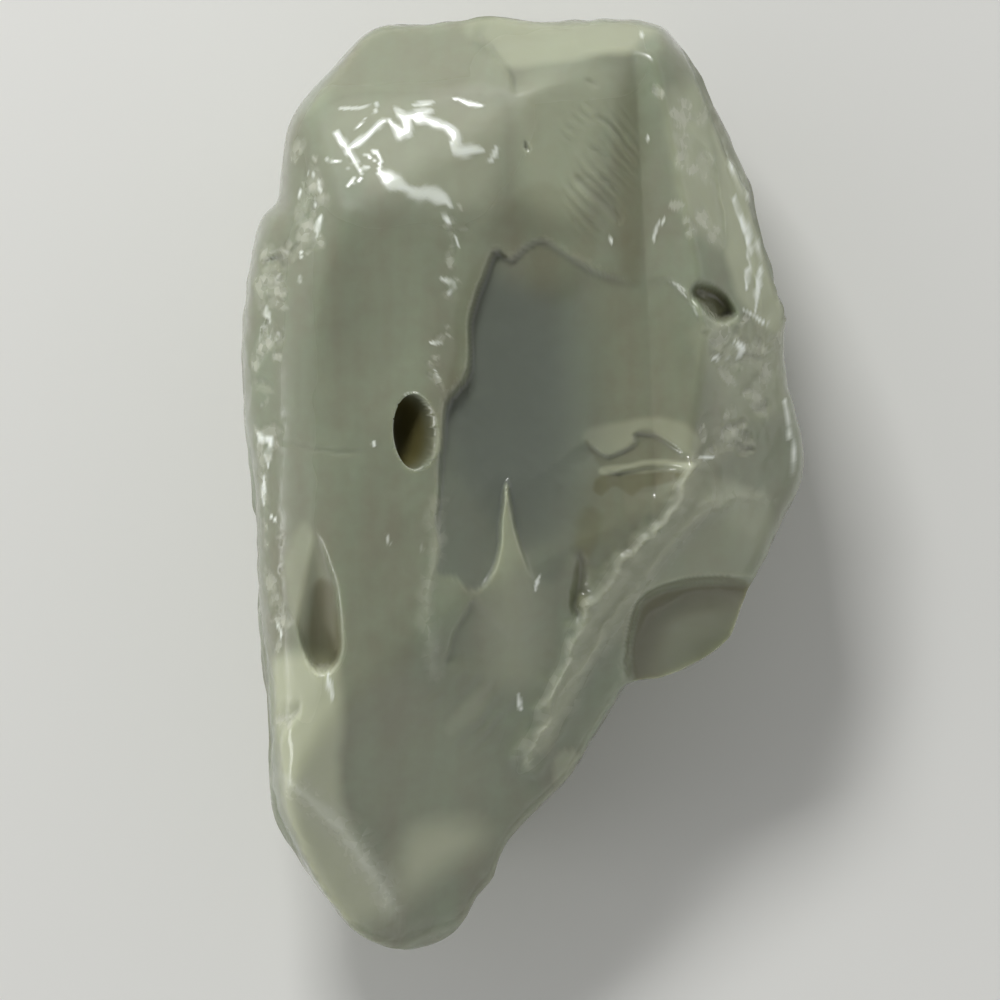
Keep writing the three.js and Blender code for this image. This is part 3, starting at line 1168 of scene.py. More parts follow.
    ledge: EdgedScar = EdgedScar(
        outline=(
            (-8.8, 9.0), (-8.4, 12.4), (-7.8, 15.6), (-7.9, 19.1), (-6.7, 23.6), (-4.2, 26.9),
            (-2.2, 26.8), (0.0, 22.0), (0.0, 14.0), (-4.0, 10.0)),
        point=(-6.5, 17.0, 41.4), left_slope=(-0.1, 0.0), right_slope=(-0.3, 0.0), wall=0.7, round=0.5)
    hollow: EdgedScar = EdgedScar(
        outline=(
            (-3.2, 26.7), (-1.3, 25.9), (0.5, 27.4), (2.5, 28.0), (4.6, 26.9), (7.0, 25.5),
            (10.0, 24.0), (13.4, 23.2), (17.0, 23.6), (20.5, 20.0), (22.5, 14.0), (21.5, 7.0),
            (19.5, 2.0), (16.0, -2.0), (12.5, -5.5), (9.0, -9.5), (7.2, -12.5), (6.9, -15.3),
            (5.1, -12.8), (2.6, -12.2), (0.9, -10.6), (-0.4, -6.7), (-1.9, -0.3), (-2.6, -8.0),
            (-3.4, -10.6), (-5.8, -12.6), (-7.8, -11.3), (-9.9, -10.6), (-9.6, -8.5), (-9.9, -5.1),
            (-9.6, -0.7), (-9.4, 3.6), (-8.8, 9.0), (-6.7, 11.6), (-6.2, 13.2), (-6.0, 16.1),
            (-5.9, 19.1), (-4.6, 23.6)),
        point=(8.5, 17.0, 36.8), left_slope=(-0.1, 0.0), right_slope=(0.2, 0.0), wall=0.7, round=4.0,
        dish=(0.004, 0.0025), blend=1.2)
    lines: tuple[ReliefLine, ...] = (
        # Step below the hollow
        ReliefLine(Profile.STEP, (
            (-5.1, -13.4), (-6.7, -15.3), (-7.9, -17.4), (-8.6, -19.8), (-8.9, -22.4)), 0.6, 0.5, 6.0),
        # Edge of the upper shell
        ReliefLine(Profile.STEP, (
            (19.9, 2.9), (18.2, 3.8), (16.6, 4.9), (15.2, 5.6), (13.4, 5.5), (13.1, 4.2), (11.6, 3.3),
            (9.9, 2.8), (8.4, 3.8), (7.3, 5.1)), 0.6, 0.7, 5.0),
        # Edge of the lower shell
        ReliefLine(Profile.STEP, ((19.9, 1.6), (16.1, 1.5), (12.6, 1.2), (9.5, 0.8)), 0.8, 0.8, 5.0),
        # Step in the top band
        ReliefLine(Profile.STEP, (
            (-6.7, 52.6), (-4.5, 51.2), (-2.7, 49.6), (-1.5, 47.8), (-0.7, 44.9)), 0.7, 0.6, 5.0),
        # Diagonal ridge, its broad swell
        ReliefLine(Profile.FOLD, RIDGE, 0.8, 1.8, wander=0.5),
        # Diagonal ridge, its sharp crest, pale with crushing and painted sheen
        ReliefLine(Profile.CREST, RIDGE, 0.8, 0.6, wander=0.6, pale=0.55),
        # Second crest beside the ridge, pale with crushing and painted sheen
        ReliefLine(Profile.CREST, (
            (24.7, -2.2), (21.6, -3.5), (19.2, -5.3), (16.6, -8.1), (14.6, -10.9), (11.5, -14.7),
            (9.1, -18.4), (6.1, -23.1), (3.8, -28.0)), 0.6, 0.8, wander=0.5, pale=0.45),
        # Groove at the foot of the ridge
        ReliefLine(Profile.GROOVE, (
            (7.1, -7.5), (6.1, -10.7), (6.5, -13.6), (5.9, -17.0)), 0.8, 0.8, wander=0.9),
        # Ridge across the foot, pale with crushing and painted sheen
        ReliefLine(Profile.CREST, (
            (-28.2, -34.2), (-25.1, -37.2), (-22.7, -39.5), (-20.4, -41.6), (-18.0, -45.4),
            (-16.2, -48.4), (-14.5, -51.3), (-13.3, -54.2)), 0.5, 1.2, pale=0.7),
        # Notch in the left edge
        ReliefLine(Profile.GROOVE, ((-30.9, 25.6), (-28.8, 25.9), (-27.3, 24.9)), 0.9, 0.5, fade=1.0),
        # Flake off the left edge
        ReliefLine(Profile.STEP, (
            (-28.6, -32.1), (-27.8, -29.5), (-26.2, -27.3), (-25.9, -25.2)), 0.9, 0.5, 2.5),
        # Fine crack across the left face
        ReliefLine(Profile.GROOVE, (
            (-30.2, 5.5), (-28.0, 4.8), (-23.9, 3.8), (-17.8, 3.2)), 0.15, 0.35),
        # Swell in the floor of the hollow
        ReliefLine(Profile.FOLD, ((6.0, 20.0), (7.0, 5.0), (8.0, -6.0)), 0.5, 3.0, fade=8.0),
        # Swell below the spike
        ReliefLine(Profile.FOLD, (
            (-1.5, -6.0), (-1.0, -12.0), (-0.2, -18.0), (0.6, -25.0)), 0.35, 1.6, fade=6.0),
        # Broken edge below the eye, pale with crushing and painted sheen
        ReliefLine(Profile.CREST, (
            (-9.7, -0.7), (-10.1, -9.0), (-11.3, -13.6), (-10.7, -18.4),
            (-10.2, -24.2)), 0.2, 0.5, wander=0.5, pale=0.4),
        # Long fold along the right bevel
        ReliefLine(Profile.CREST, (
            (20.8, 45.8), (23.4, 40.5), (25.3, 34.6), (26.7, 27.5), (28.4, 19.1)), 0.45, 0.4),
        # Inner fold beside it
        ReliefLine(Profile.CREST, ((19.6, 41.6), (22.2, 38.1), (23.4, 33.4), (24.0, 27.5)), 0.35, 0.35),
        # Outer fold beside it
        ReliefLine(Profile.CREST, ((24.1, 38.7), (26.1, 33.4), (26.9, 28.7)), 0.35, 0.35),
        # Edge above the scoop, pale with crushing and painted sheen
        ReliefLine(Profile.CREST, (
            (30.0, -3.6), (28.5, -2.2), (26.1, -1.9), (22.6, -2.2), (19.6, -3.6)), 0.3, 0.7, pale=0.3),
        # Bold groove beside the valley
        ReliefLine(Profile.GROOVE, (
            (6.2, 36.0), (9.1, 33.2), (11.9, 30.2)), 0.34, 0.4, fade=1.0, wander=0.1),
        # Second groove above it
        ReliefLine(Profile.GROOVE, (
            (7.3, 36.2), (9.4, 34.1), (11.6, 31.4)), 0.2, 0.3, fade=1.0, wander=0.15),
        # Third groove above it
        ReliefLine(Profile.GROOVE, (
            (8.7, 36.0), (10.1, 34.9), (11.4, 33.5)), 0.2, 0.3, fade=1.0, wander=0.15),
        # Fourth groove, further up
        ReliefLine(Profile.GROOVE, (
            (7.6, 39.4), (9.1, 38.4), (10.3, 37.2)), 0.2, 0.3, fade=1.0, wander=0.15),
        # Fifth groove, further up
        ReliefLine(Profile.GROOVE, (
            (8.3, 42.9), (10.3, 41.7), (12.2, 39.8)), 0.22, 0.35, fade=1.0, wander=0.15),
        # Short groove under the top band
        ReliefLine(Profile.GROOVE, ((7.2, 47.3), (8.9, 46.0)), 0.17, 0.3, fade=0.8, wander=0.15),
    )
    bubbles: tuple[Bubble, ...] = (
        # The eye, the deepest bubble
        Bubble((-12.4, 5.7), (2.6, 4.5), 4, 5.0, lean=(-0.35, 0.0), heavy=(-0.3, 0.0)),
        # Pinhole below the top band
        Bubble((0.5, 39.1), (0.35, 0.4), 0, 0.8),
    )
    pits: tuple[Pit, ...] = (
        # Pit at the right
        Pit((
            (20.3, 23.2), (22.4, 22.9), (24.2, 21.6), (25.2, 19.5), (24.0, 18.5), (22.4, 18.7),
            (20.8, 20.2), (19.6, 21.7)), 2.6, 1.1),
    )
    # Chips: shallow dents that leave crushed paleness with painted sheen
    chips: tuple[ChipRow, ...] = (
        # Edge between the left face and the hollow
        ChipRow(((-8.0, 31.6), (-8.2, 22.8), (-9.4, 16.4), (-9.8, 10.5)), 22, 0.4, (0.3, 0.6), 0.35, 3),
        # Bevel on the left
        ChipRow((
            (-30.0, 27.5), (-29.5, 20.5), (-30.0, 6.0), (-29.4, -6.0),
            (-28.5, -30)), 60, 0.8, (0.4, 1.1), 0.45, 5),
        # Crackled strip inside the right bevel
        ChipRow(((18.5, 44.5), (20.5, 38.0), (22.5, 29.0)), 30, 1.4, (0.4, 1.0), 0.25, 7),
        # Bulge on the right
        ChipRow((
            (21.0, 17.5), (25.0, 16.0), (29.5, 15.5), (26.0, 9.0),
            (21.5, 3.0)), 40, 1.4, (0.4, 1.2), 0.4, 9),
        # Bevel at the upper left
        ChipRow(((-26.0, 38.5), (-24.5, 31.0), (-26.0, 26.0)), 26, 1.0, (0.4, 1.0), 0.35, 11),
    )
    zones: tuple[ToneZone, ...] = (
        # Bevel along the right edge: painted light, with its paler crackled glass
        ToneZone(Tone.PALE, 0.75, 1.6, (
            (21.5, 47.0), (26.0, 37.0), (29.5, 26.0), (31.5, 17.0), (27.5, 18.5), (24.5, 24.0),
            (23.3, 31.0), (22.5, 38.0))),
        # Crackled strip inside it
        ToneZone(Tone.PALE, 0.65, 3.0, (
            (17.5, 45.0), (21.0, 46.0), (23.0, 38.0), (24.0, 28.0), (20.0, 30.0), (18.0, 37.0))),
        # Bulge on the right: painted light
        ToneZone(Tone.PALE, 0.35, 3.0, (
            (20.5, 18.5), (31.0, 17.0), (31.5, 9.0), (26.0, 6.0), (21.5, 1.0), (22.5, 9.0))),
        # Top band, right part: painted light where it faces the lamp
        ToneZone(Tone.PALE, 0.65, 1.8, (
            (-6.7, 52.6), (-4.5, 51.2), (-2.7, 49.6), (-1.5, 48.4), (4.0, 48.6), (9.0, 49.6),
            (13.0, 50.5), (16.0, 54.5), (-4.0, 56.5))),
        # Top band, left part: painted light
        ToneZone(Tone.PALE, 0.25, 1.6, (
            (-26.0, 43.0), (-19.0, 45.2), (-2.0, 45.2), (-3.0, 49.5), (-7.0, 52.6), (-8.0, 56.0),
            (-18.0, 55.0))),
        # Face above the brow: painted light
        ToneZone(Tone.PALE, 0.45, 5.0, (
            (-1.0, 46.0), (10.5, 49.0), (9.5, 40.0), (6.0, 31.0), (0.0, 34.0))),
        # Slot in the trough: painted olive shade
        ToneZone(Tone.OLIVE, 0.48, 0.9, (
            (-23.4, -11.5), (-21.8, -13.5), (-21.3, -18.5), (-21.7, -21.2), (-23.4, -21.9),
            (-24.6, -20.5), (-24.9, -16.5), (-24.4, -13.0))),
        # Upper slope of the trough: painted light
        ToneZone(Tone.PALE, 0.4, 1.5, (
            (-25.3, -4.7), (-23.5, -8.0), (-23.0, -11.0), (-24.8, -13.0), (-25.5, -18.0),
            (-27.6, -12.0), (-27.2, -7.0))),
        # Left arm of the hollow: the glass's cool tone, deepened as painted shade
        ToneZone(Tone.COOL, 0.6, 0.8, (
            (-9.4, 3.6), (-9.6, -0.7), (-9.9, -5.1), (-9.6, -8.5), (-9.9, -10.6), (-7.8, -11.3),
            (-5.8, -12.6), (-3.4, -10.6), (-2.6, -8.0), (-1.9, -0.3), (-3.0, 4.0))),
        # Right arm of the hollow: the glass's cool tone, deepened as painted shade
        ToneZone(Tone.COOL, 0.45, 2.0, (
            (-1.9, -0.3), (-0.4, -6.7), (0.9, -10.6), (2.6, -12.2), (5.0, -11.0), (6.5, -5.0),
            (4.0, 0.0))),
        # Diagonal ridge, satin
        ToneZone(Tone.DULL, 0.9, 1.5, (
            (20.5, 2.5), (16.0, -4.6), (13.0, -7.6), (10.0, -11.0), (7.0, -15.0), (5.4, -18.6),
            (3.8, -23.0), (-0.5, -34.0), (3.6, -31.0), (6.8, -24.0), (9.8, -18.8), (12.2, -15.0),
            (15.2, -11.0), (17.2, -8.3), (19.8, -5.5), (22.5, -1.0))),
        # Bevel at the lower left: painted light
        ToneZone(Tone.PALE, 1.0, 2.5, (
            (-21.5, -22.0), (-21.3, -37.5), (-17.0, -46.0), (-12.5, -56.0), (-24.0, -50.0),
            (-30.0, -38.0), (-31.0, -22.0))),
        # Spike between the hollow's arms: painted light
        ToneZone(Tone.PALE, 0.35, 0.7, (
            (-1.9, -0.3), (-0.4, -6.7), (0.9, -10.6), (0.8, -13.5), (-3.2, -13.5), (-3.4, -10.6),
            (-2.6, -8.0))),
        # Face below the spike: painted light
        ToneZone(Tone.PALE, 0.4, 5.0, (
            (-3.2, -8.5), (0.4, -8.5), (2.2, -15.0), (1.5, -23.0), (-3.5, -23.0), (-4.5, -15.0))),
        # Face between the ridge and the scoop: painted light
        ToneZone(Tone.PALE, 0.35, 2.0, (
            (20.0, 1.0), (29.0, -3.0), (27.0, -10.0), (24.5, -12.0), (17.0, -12.5), (13.0, -16.0),
            (9.5, -20.0), (12.0, -12.0), (16.0, -6.0))),
        # Tip of the foot: painted light
        ToneZone(Tone.PALE, 1.0, 6.0, ((-13.0, -55.0), (-3.5, -46.0), (-6.0, -40.0), (-14.0, -42.0))),
        # Diagonal ridge: painted highlight
        ToneZone(Tone.PALE, 0.55, 1.5, (
            (19.5, 1.5), (17.5, -4.6), (14.2, -7.6), (11.2, -11.0), (8.2, -15.0), (6.6, -18.6),
            (5.0, -23.0), (1.6, -31.0), (3.6, -31.0), (6.8, -24.0), (9.8, -18.8), (12.2, -15.0),
            (15.2, -11.0), (17.2, -8.3), (19.8, -5.5), (22.5, -3.0))),
        # Floor of the scoop: painted light where it faces up
        ToneZone(Tone.PALE, 0.75, 4.0, (
            (17.5, -16.0), (26.5, -13.0), (27.0, -19.0), (18.0, -25.0), (14.0, -24.0))),
        # Ridge across the foot: painted highlight
        ToneZone(Tone.GLINT, 0.22, 1.0, (
            (-28.2, -33.9), (-22.3, -38.6), (-17.2, -45.3), (-13.1, -52.7), (-14.1, -53.3),
            (-18.2, -46.1), (-23.1, -39.6), (-28.2, -34.9))),
        # Trough, satin
        ToneZone(Tone.DULL, 0.8, 1.0, (
            (-25.3, -4.7), (-23.2, -7.8), (-21.4, -14.2), (-20.8, -20.7), (-23.3, -22.6),
            (-25.2, -20.1), (-27.4, -13.6), (-27.4, -7.2))),
        # Upper shell: painted light on its ledge
        ToneZone(Tone.PALE, 0.5, 1.0, (
            (7.3, 5.1), (10.0, 3.1), (12.9, 4.6), (13.2, 5.6), (14.7, 5.9), (16.7, 4.8), (20.1, 2.7),
            (20.8, 5.2), (16.1, 7.5), (9.1, 6.4))),
        # Small flake below the ridge: painted light
        ToneZone(Tone.PALE, 0.45, 0.6, ((4.0, -31.8), (6.5, -31.5), (6.0, -34.2), (4.0, -35.2))),
        # Lower front face: painted light
        ToneZone(Tone.PALE, 0.15, 6.0, (
            (-20.0, -22.0), (-12.0, -24.0), (-4.0, -34.0), (-8.0, -42.0), (-15.0, -42.0),
            (-20.5, -36.0))),
        # Streak on the lower front face
        ToneZone(Tone.PALE, 0.3, 1.6, ((-9.1, -28.4), (-3.4, -23.3), (-4.4, -26.0), (-8.0, -30.0))),
        # Ledge on the left of the hollow: painted olive shade on its wall
        ToneZone(Tone.OLIVE, 0.2, 1.0, (
            (-8.8, 9.0), (-8.4, 12.4), (-7.8, 15.6), (-7.9, 19.1), (-6.7, 23.6), (-4.2, 26.9),
            (-4.4, 23.6), (-5.7, 19.1), (-5.8, 14.0), (-6.5, 11.0))),
        # Under the brow: painted olive shade
        ToneZone(Tone.OLIVE, 0.2, 3.0, (
            (0.5, 27.4), (2.5, 28.0), (4.6, 26.9), (7.5, 24.5), (6.0, 21.0), (1.0, 22.0))),
        # Shade under the lower shell
        ToneZone(Tone.OLIVE, 0.45, 0.8, (
            (9.2, 0.6), (12.6, 0.8), (16.5, 1.1), (18.8, 0.9), (16.4, -0.4), (14.2, -0.6),
            (12.8, -1.9), (10.8, -0.7), (9.4, -2.0), (8.2, -1.0))),
        # Faces of the shells: painted olive shade
        ToneZone(Tone.OLIVE, 0.2, 0.7, (
            (7.6, 4.6), (8.6, 3.6), (10.0, 2.6), (11.7, 3.0), (13.2, 4.0), (13.6, 5.3), (15.2, 5.3),
            (16.6, 4.6), (19.6, 2.7), (19.6, 2.1), (16.0, 2.0), (12.6, 1.7), (9.6, 1.3))),
        # Bright edge of the lower shell: painted highlight
        ToneZone(Tone.PALE, 0.8, 0.5, (
            (9.4, 1.6), (12.6, 1.9), (16.1, 2.2), (19.8, 2.3), (19.8, 1.4), (16.1, 1.3), (12.6, 1.0),
            (9.4, 0.8))),
        # Right side of the hollow, upper part: painted olive shade
        ToneZone(Tone.OLIVE, 0.13, 6.0, (
            (9.0, 24.0), (20.0, 20.0), (21.5, 10.0), (19.0, 4.0), (9.0, 5.0))),
        # Right side of the hollow, lower part: painted olive shade
        ToneZone(Tone.OLIVE, 0.16, 5.0, (
            (8.0, 0.0), (18.0, 0.0), (13.0, -6.0), (9.0, -11.0), (7.5, -7.0))),
        # Groove at the foot of the ridge: painted olive shade
        ToneZone(Tone.OLIVE, 0.35, 2.0, (
            (7.3, -3.0), (10.0, -4.0), (8.5, -9.0), (7.0, -15.0), (5.6, -14.0), (6.2, -8.0))),
        # Valley beside the dome: painted olive shade
        ToneZone(Tone.OLIVE, 0.25, 2.5, ((11.5, 46.0), (14.3, 46.0), (14.3, 24.0), (11.0, 26.0))),
        # Facet at the top, satin
        ToneZone(Tone.DULL, 1.0, 4.0, (
            (-4.0, 45.5), (6.0, 45.0), (13.0, 46.5), (13.0, 53.0), (4.0, 52.0), (-4.5, 50.5))),
        # Inner edge of the left bevel, satin
        ToneZone(Tone.DULL, 0.8, 2.0, (
            (-27.2, 27.0), (-24.6, 27.0), (-24.4, 0.0), (-23.6, -25.0), (-27.0, -25.0), (-27.6, 0.0))),
        # Brow: painted olive shade
        ToneZone(Tone.OLIVE, 0.14, 1.2, (
            (-4.2, 27.5), (-3.1, 30.5), (-0.9, 33.2), (2.0, 34.8), (4.6, 34.0), (7.3, 31.6),
            (9.1, 28.7), (7.9, 25.2), (4.6, 27.5), (2.5, 28.4), (0.5, 27.8), (-1.3, 26.4))),
        # Crinkled dome, satin between its folds
        ToneZone(Tone.DULL, 0.9, 6.0, (
            (-23.5, 45.0), (-12.0, 45.6), (-1.0, 46.5), (0.5, 41.0), (-2.5, 35.0), (-7.0, 30.8),
            (-12.0, 31.0), (-18.0, 30.5), (-22.5, 33.0), (-25.0, 40.0))),
        # Crinkled dome: painted sheen between its folds
        ToneZone(Tone.PALE, 0.4, 5.0, (
            (-21.0, 44.5), (-2.5, 44.5), (-3.3, 34.6), (-7.4, 32.2), (-16.8, 34.0), (-22.7, 38.0))),
    )
    # Polished folds of the crinkled dome, each also painted as a highlight
    glosses: tuple[GlossLine, ...] = (
        GlossLine(((-21.2, 43.6), (-19.4, 43.6), (-17.8, 43.9)), 0.3),
        GlossLine(((-17.2, 44.2), (-17.1, 42.8)), 0.3),
        GlossLine(((-12.7, 43.8), (-11.2, 44.2), (-9.8, 44.4)), 0.3),
        GlossLine(((-12.6, 42.9), (-9.8, 43.4)), 0.3),
        GlossLine(((-8.0, 44.8), (-6.2, 44.1), (-4.4, 43.8)), 0.28),
        GlossLine(((-14.7, 43.5), (-13.5, 42.2), (-13.3, 40.4), (-14.5, 40.8), (-15.5, 41.9)), 0.45),
        GlossLine(((-20.1, 38.9), (-19.2, 39.6), (-17.8, 40.7), (-15.9, 41.9)), 0.42),
        GlossLine(((-21.5, 40.8), (-20.8, 39.6), (-20.4, 38.7), (-18.9, 36.2)), 0.42),
        GlossLine((
            (-13.1, 42.7), (-10.9, 42.0), (-8.6, 41.4), (-7.6, 39.9), (-7.9, 38.9), (-6.2, 38.7),
            (-4.5, 38.7)), 0.55),
        GlossLine(((-3.9, 37.2), (-3.1, 38.1), (-2.7, 39.1)), 0.3),
        GlossLine(((-16.5, 36.0), (-14.7, 34.8), (-12.7, 33.9), (-9.5, 33.1), (-8.4, 32.2)), 0.8),
        GlossLine(((-18.2, 38.1), (-17.3, 37.2)), 0.35),
        GlossLine(((-18.9, 36.0), (-18.0, 36.7)), 0.35),
        GlossLine(((-17.1, 38.4), (-16.4, 37.6)), 0.35),
        GlossLine(((-19.6, 34.6), (-18.6, 35.3)), 0.3),
        GlossLine(((-23.0, 37.6), (-22.1, 37.2), (-21.3, 37.2)), 0.22),
        GlossLine(((-20.1, 37.9), (-19.2, 37.1)), 0.3),
        GlossLine(((-19.4, 36.8), (-18.6, 35.9)), 0.3),
        GlossLine(((-16.2, 37.3), (-16.6, 36.4)), 0.28),
        GlossLine(((-19.6, 35.5), (-20.4, 34.3)), 0.26),
        GlossLine(((-17.3, 38.6), (-16.6, 38.3)), 0.26),
        GlossLine(((-20.6, 36.4), (-20.1, 36.2)), 0.3),
        GlossLine(((-24.9, 35.9), (-24.4, 35.5)), 0.28),
        GlossLine(((-23.7, 34.9), (-23.4, 33.5)), 0.24),
        GlossLine(((-24.3, 32.8), (-24.1, 32.1)), 0.26),
        GlossLine(((-19.4, 41.3), (-18.4, 42.2)), 0.2),
    )
    # Painted highlights on chips and edges
    glints: tuple[GlossLine, ...] = (
        GlossLine(((-31.2, 5.9), (-30.2, 5.1), (-29.2, 4.8), (-29.6, 3.1), (-29.8, 1.6)), 0.38),
        GlossLine(((-30.2, 0.5), (-30.0, -2.5)), 0.32),
        GlossLine(((-29.4, -4.0), (-28.8, -4.8)), 0.35),
        GlossLine(((-28.9, -16.0), (-28.1, -18.4)), 0.35),
        GlossLine(((-22.8, -22.6), (-22.4, -24.2), (-22.1, -25.4)), 0.4),
        GlossLine(((-26.0, 34.1), (-25.9, 33.5)), 0.38),
        GlossLine(((-23.4, 31.1), (-24.1, 28.4)), 0.35),
        GlossLine(((-25.9, 26.7), (-25.8, 26.0)), 0.4),
        GlossLine(((-29.8, 20.5), (-29.5, 18.4)), 0.4),
        GlossLine(((-25.9, 23.6), (-25.8, 23.1)), 0.32),
        GlossLine(((-17.2, 4.6), (-17.2, 4.2)), 0.32),
        GlossLine(((-15.9, -6.1), (-15.4, -7.2)), 0.3),
        GlossLine(((-11.8, -7.5), (-11.6, -8.2)), 0.3),
        GlossLine(((-7.8, 28.7), (-7.5, 27.3)), 0.32),
        GlossLine(((-9.2, 23.6), (-8.0, 22.9), (-8.7, 21.9)), 0.38),
        GlossLine(((-10.5, 16.1), (-9.3, 16.1)), 0.28),
        GlossLine(((-10.2, 13.2), (-9.9, 12.2)), 0.3),
        GlossLine(((-9.1, 31.4), (-8.4, 30.1)), 0.35),
        GlossLine(((15.3, 27.9), (15.6, 29.2), (16.6, 30.4)), 0.35),
        GlossLine(((13.8, 52.2), (14.0, 52.0)), 0.32),
        GlossLine(((13.3, 48.4), (13.2, 48.1)), 0.32),
        GlossLine(((14.6, 40.4), (14.6, 40.1)), 0.32),
        GlossLine(((10.5, 28.3), (10.5, 27.8)), 0.32),
        GlossLine(((24.2, 37.8), (27.0, 32.7), (28.8, 27.5)), 0.45),
        GlossLine(((24.7, 33.2), (26.6, 27.5), (26.4, 22.5)), 0.35),
        GlossLine(((26.0, 30.6), (27.8, 26.0), (27.4, 19.9)), 0.3),
        GlossLine(((30.9, 9.5), (31.6, 5.0), (31.9, 0.5)), 0.3),
        GlossLine(((21.4, 45.8), (23.4, 40.5), (24.6, 36.4)), 0.28),
        GlossLine(((26.1, 19.9), (28.8, 18.5)), 0.35),
        GlossLine(((24.7, 16.4), (25.8, 15.5), (25.3, 14.4)), 0.32),
        GlossLine(((22.2, 14.4), (24.1, 14.6)), 0.32),
        GlossLine(((20.8, 2.7), (22.4, 2.7)), 0.35),
        GlossLine(((2.0, -11.1), (1.5, -12.8)), 0.38),
        GlossLine(((-0.4, -24.8), (0.1, -26.8)), 0.28),
    )
    flakes: tuple[FlakeRow, ...] = (
        # Below the ridge round the sides
        FlakeRow(13, False, (3.0, 5.5), (24.0, 40.0), (13.0, 19.0), 21),
        # Above it
        FlakeRow(12, True, (1.4, 2.6), (28.0, 46.0), (14.0, 22.0), 22),
    )
    ripples: tuple[Ripple, ...] = (
        # Left side
        Ripple((-32.0, 12.0, 31.0), 20.0, 3.6, 0.07),
        # Lower left side
        Ripple((-30.5, -26.0, 30.0), 16.0, 3.0, 0.07),
        # Right side
        Ripple((31.0, 2.0, 26.0), 17.0, 3.3, 0.07),
        # Upper right side
        Ripple((27.0, 34.0, 27.0), 14.0, 2.9, 0.06),
        # Head end
        Ripple((2.0, 54.0, 28.0), 18.0, 3.4, 0.07),
        # Foot end
        Ripple((-17.0, -52.0, 27.0), 14.0, 2.9, 0.07),
        # Side below the ridge
        Ripple((9.0, -29.0, 26.0), 16.0, 3.1, 0.07),
        # Resting face
        Ripple((-6.0, 24.0, 0.0), 26.0, 3.8, 0.2),
    )
    striations: tuple[Striation, ...] = (
        # Lower front face
        Striation((-6.5, -27.0), (8.0, 6.0), 48, 1.7, 0.07),
        # Beside the valley
        Striation((9.0, 36.5), (5.5, 10.0), -48, 1.15, 0.12),
    )

    def profile(self) -> tuple[np.ndarray, np.ndarray]:
        """Space the rings along the slab's profile.

        On ring angle p the share outwards is cos(p)^rounding and the share upwards is sin(p)^rounding.
        Rings are spaced evenly in length within the top, the shoulder, the wall and the underside.

        Returns:
            Share outwards and share upwards of each ring, from the top pole to the bottom one.
        """
        angle = np.linspace(FULL_TURN / 4.0, -FULL_TURN / 4.0, self.profile_samples)
        out = np.abs(np.cos(angle)) ** self.rounding
        up = np.sign(angle) * np.abs(np.sin(angle)) ** self.rounding
        out[[0, -1]] = 0.0
        length = np.hypot(np.diff(out) * self.mean_reach, np.diff(up) * self.mean_rise)
        travelled = np.concatenate([[0.0], np.cumsum(length)])
        marks = (0.0, travelled[np.argmax(out > self.top_share)],
                 travelled[np.argmax(up < self.wall_top)],
                 travelled[np.argmax(up < self.wall_foot)], travelled[-1])
        counts = (self.top_rings, self.shoulder_rings, self.wall_rings, self.under_rings)
        parts = [np.linspace(start, end, count, endpoint=False)
                 for start, end, count in zip(marks[:-1], marks[1:], counts)]
        stops = np.concatenate([*parts, [travelled[-1]]])
        return np.interp(stops, travelled, out), np.interp(stops, travelled, up)

    def rays(self) -> tuple[np.ndarray, np.ndarray]:
        """Lay out the grid: one ray to each ring and spoke of the rounded slab.

        Spokes are spaced evenly along the outline. A ray starts below or above its end as far out as
        the inner share of the outline, and on the inner share itself further out, so that rays never
        cross.

        Returns:
            Start of each ray and its full reach, ring by ring.
        """
        rim = curve_through(self.outline, closed=True, per_span=OUTLINE_STEPS) - np.array(self.heart[:2])
        angle = np.arctan2(rim[:, 1], rim[:, 0])
        order = np.argsort(angle)
        angle, reach = angle[order], np.hypot(rim[:, 0], rim[:, 1])[order]
        fine = np.linspace(-FULL_TURN / 2.0, FULL_TURN / 2.0, self.outline_samples)
        fine_reach = np.interp(fine, angle, reach, period=FULL_TURN)
        travelled = np.concatenate([[0.0], np.cumsum(fine_reach[1:])])
        spoke = np.interp(np.arange(self.spokes) / self.spokes, travelled / travelled[-1], fine)
        spoke_reach = np.interp(spoke, angle, reach, period=FULL_TURN)
        out, up = self.profile()
        girth = self.girth_height + self.girth_sway * np.sin(spoke + self.girth_phase)
        rise = np.where(up[:, None] >= 0.0, up[:, None] * (self.crest_height - girth),
                        up[:, None] * (girth + self.sink_depth))
        across = out[:, None] * spoke_reach
        tips = np.stack([self.heart[0] + across * np.cos(spoke),
                         self.heart[1] + across * np.sin(spoke), girth + rise], axis=-1)
        inner = np.minimum(out, self.inner_share)[:, None] * spoke_reach
        anchors = np.stack([self.heart[0] + inner * np.cos(spoke),
                            self.heart[1] + inner * np.sin(spoke),
                            np.full_like(inner, self.heart[2])], axis=-1)
        anchors = anchors.reshape(-1, 3)
        return anchors, tips.reshape(-1, 3) - anchors

    def broken(self) -> np.ndarray:
        """Cut the slab by its breaks and scars along the rays, with every crease slightly rounded.

        Returns:
            The broken skin's points, ring by ring.
        """
        anchors, rays = self.rays()
        length = np.linalg.norm(rays, axis=1)
        kept = length.copy()
        spared = self.scoop.point[:2]
        struck = [scar for row in self.flakes
                  for scar in row.scars(self.outline, self.girth_height, self.ridge_sway, spared)]
        for cut in (*self.breaks, *self.valleys, *self.scars, *struck):
            reach = np.minimum(cut.share(anchors, rays), self.longest_cut) * length
            kept = soft_min(kept, reach, cut.round)
        skin = anchors + rays * (kept / length)[:, None]
        skin[:, 2], _ = self.scoop.lowered(skin[:, :2], skin[:, 2], np.zeros(len(skin)))
        skin[:, 2] = np.maximum(skin[:, 2], 0.0)
        return skin

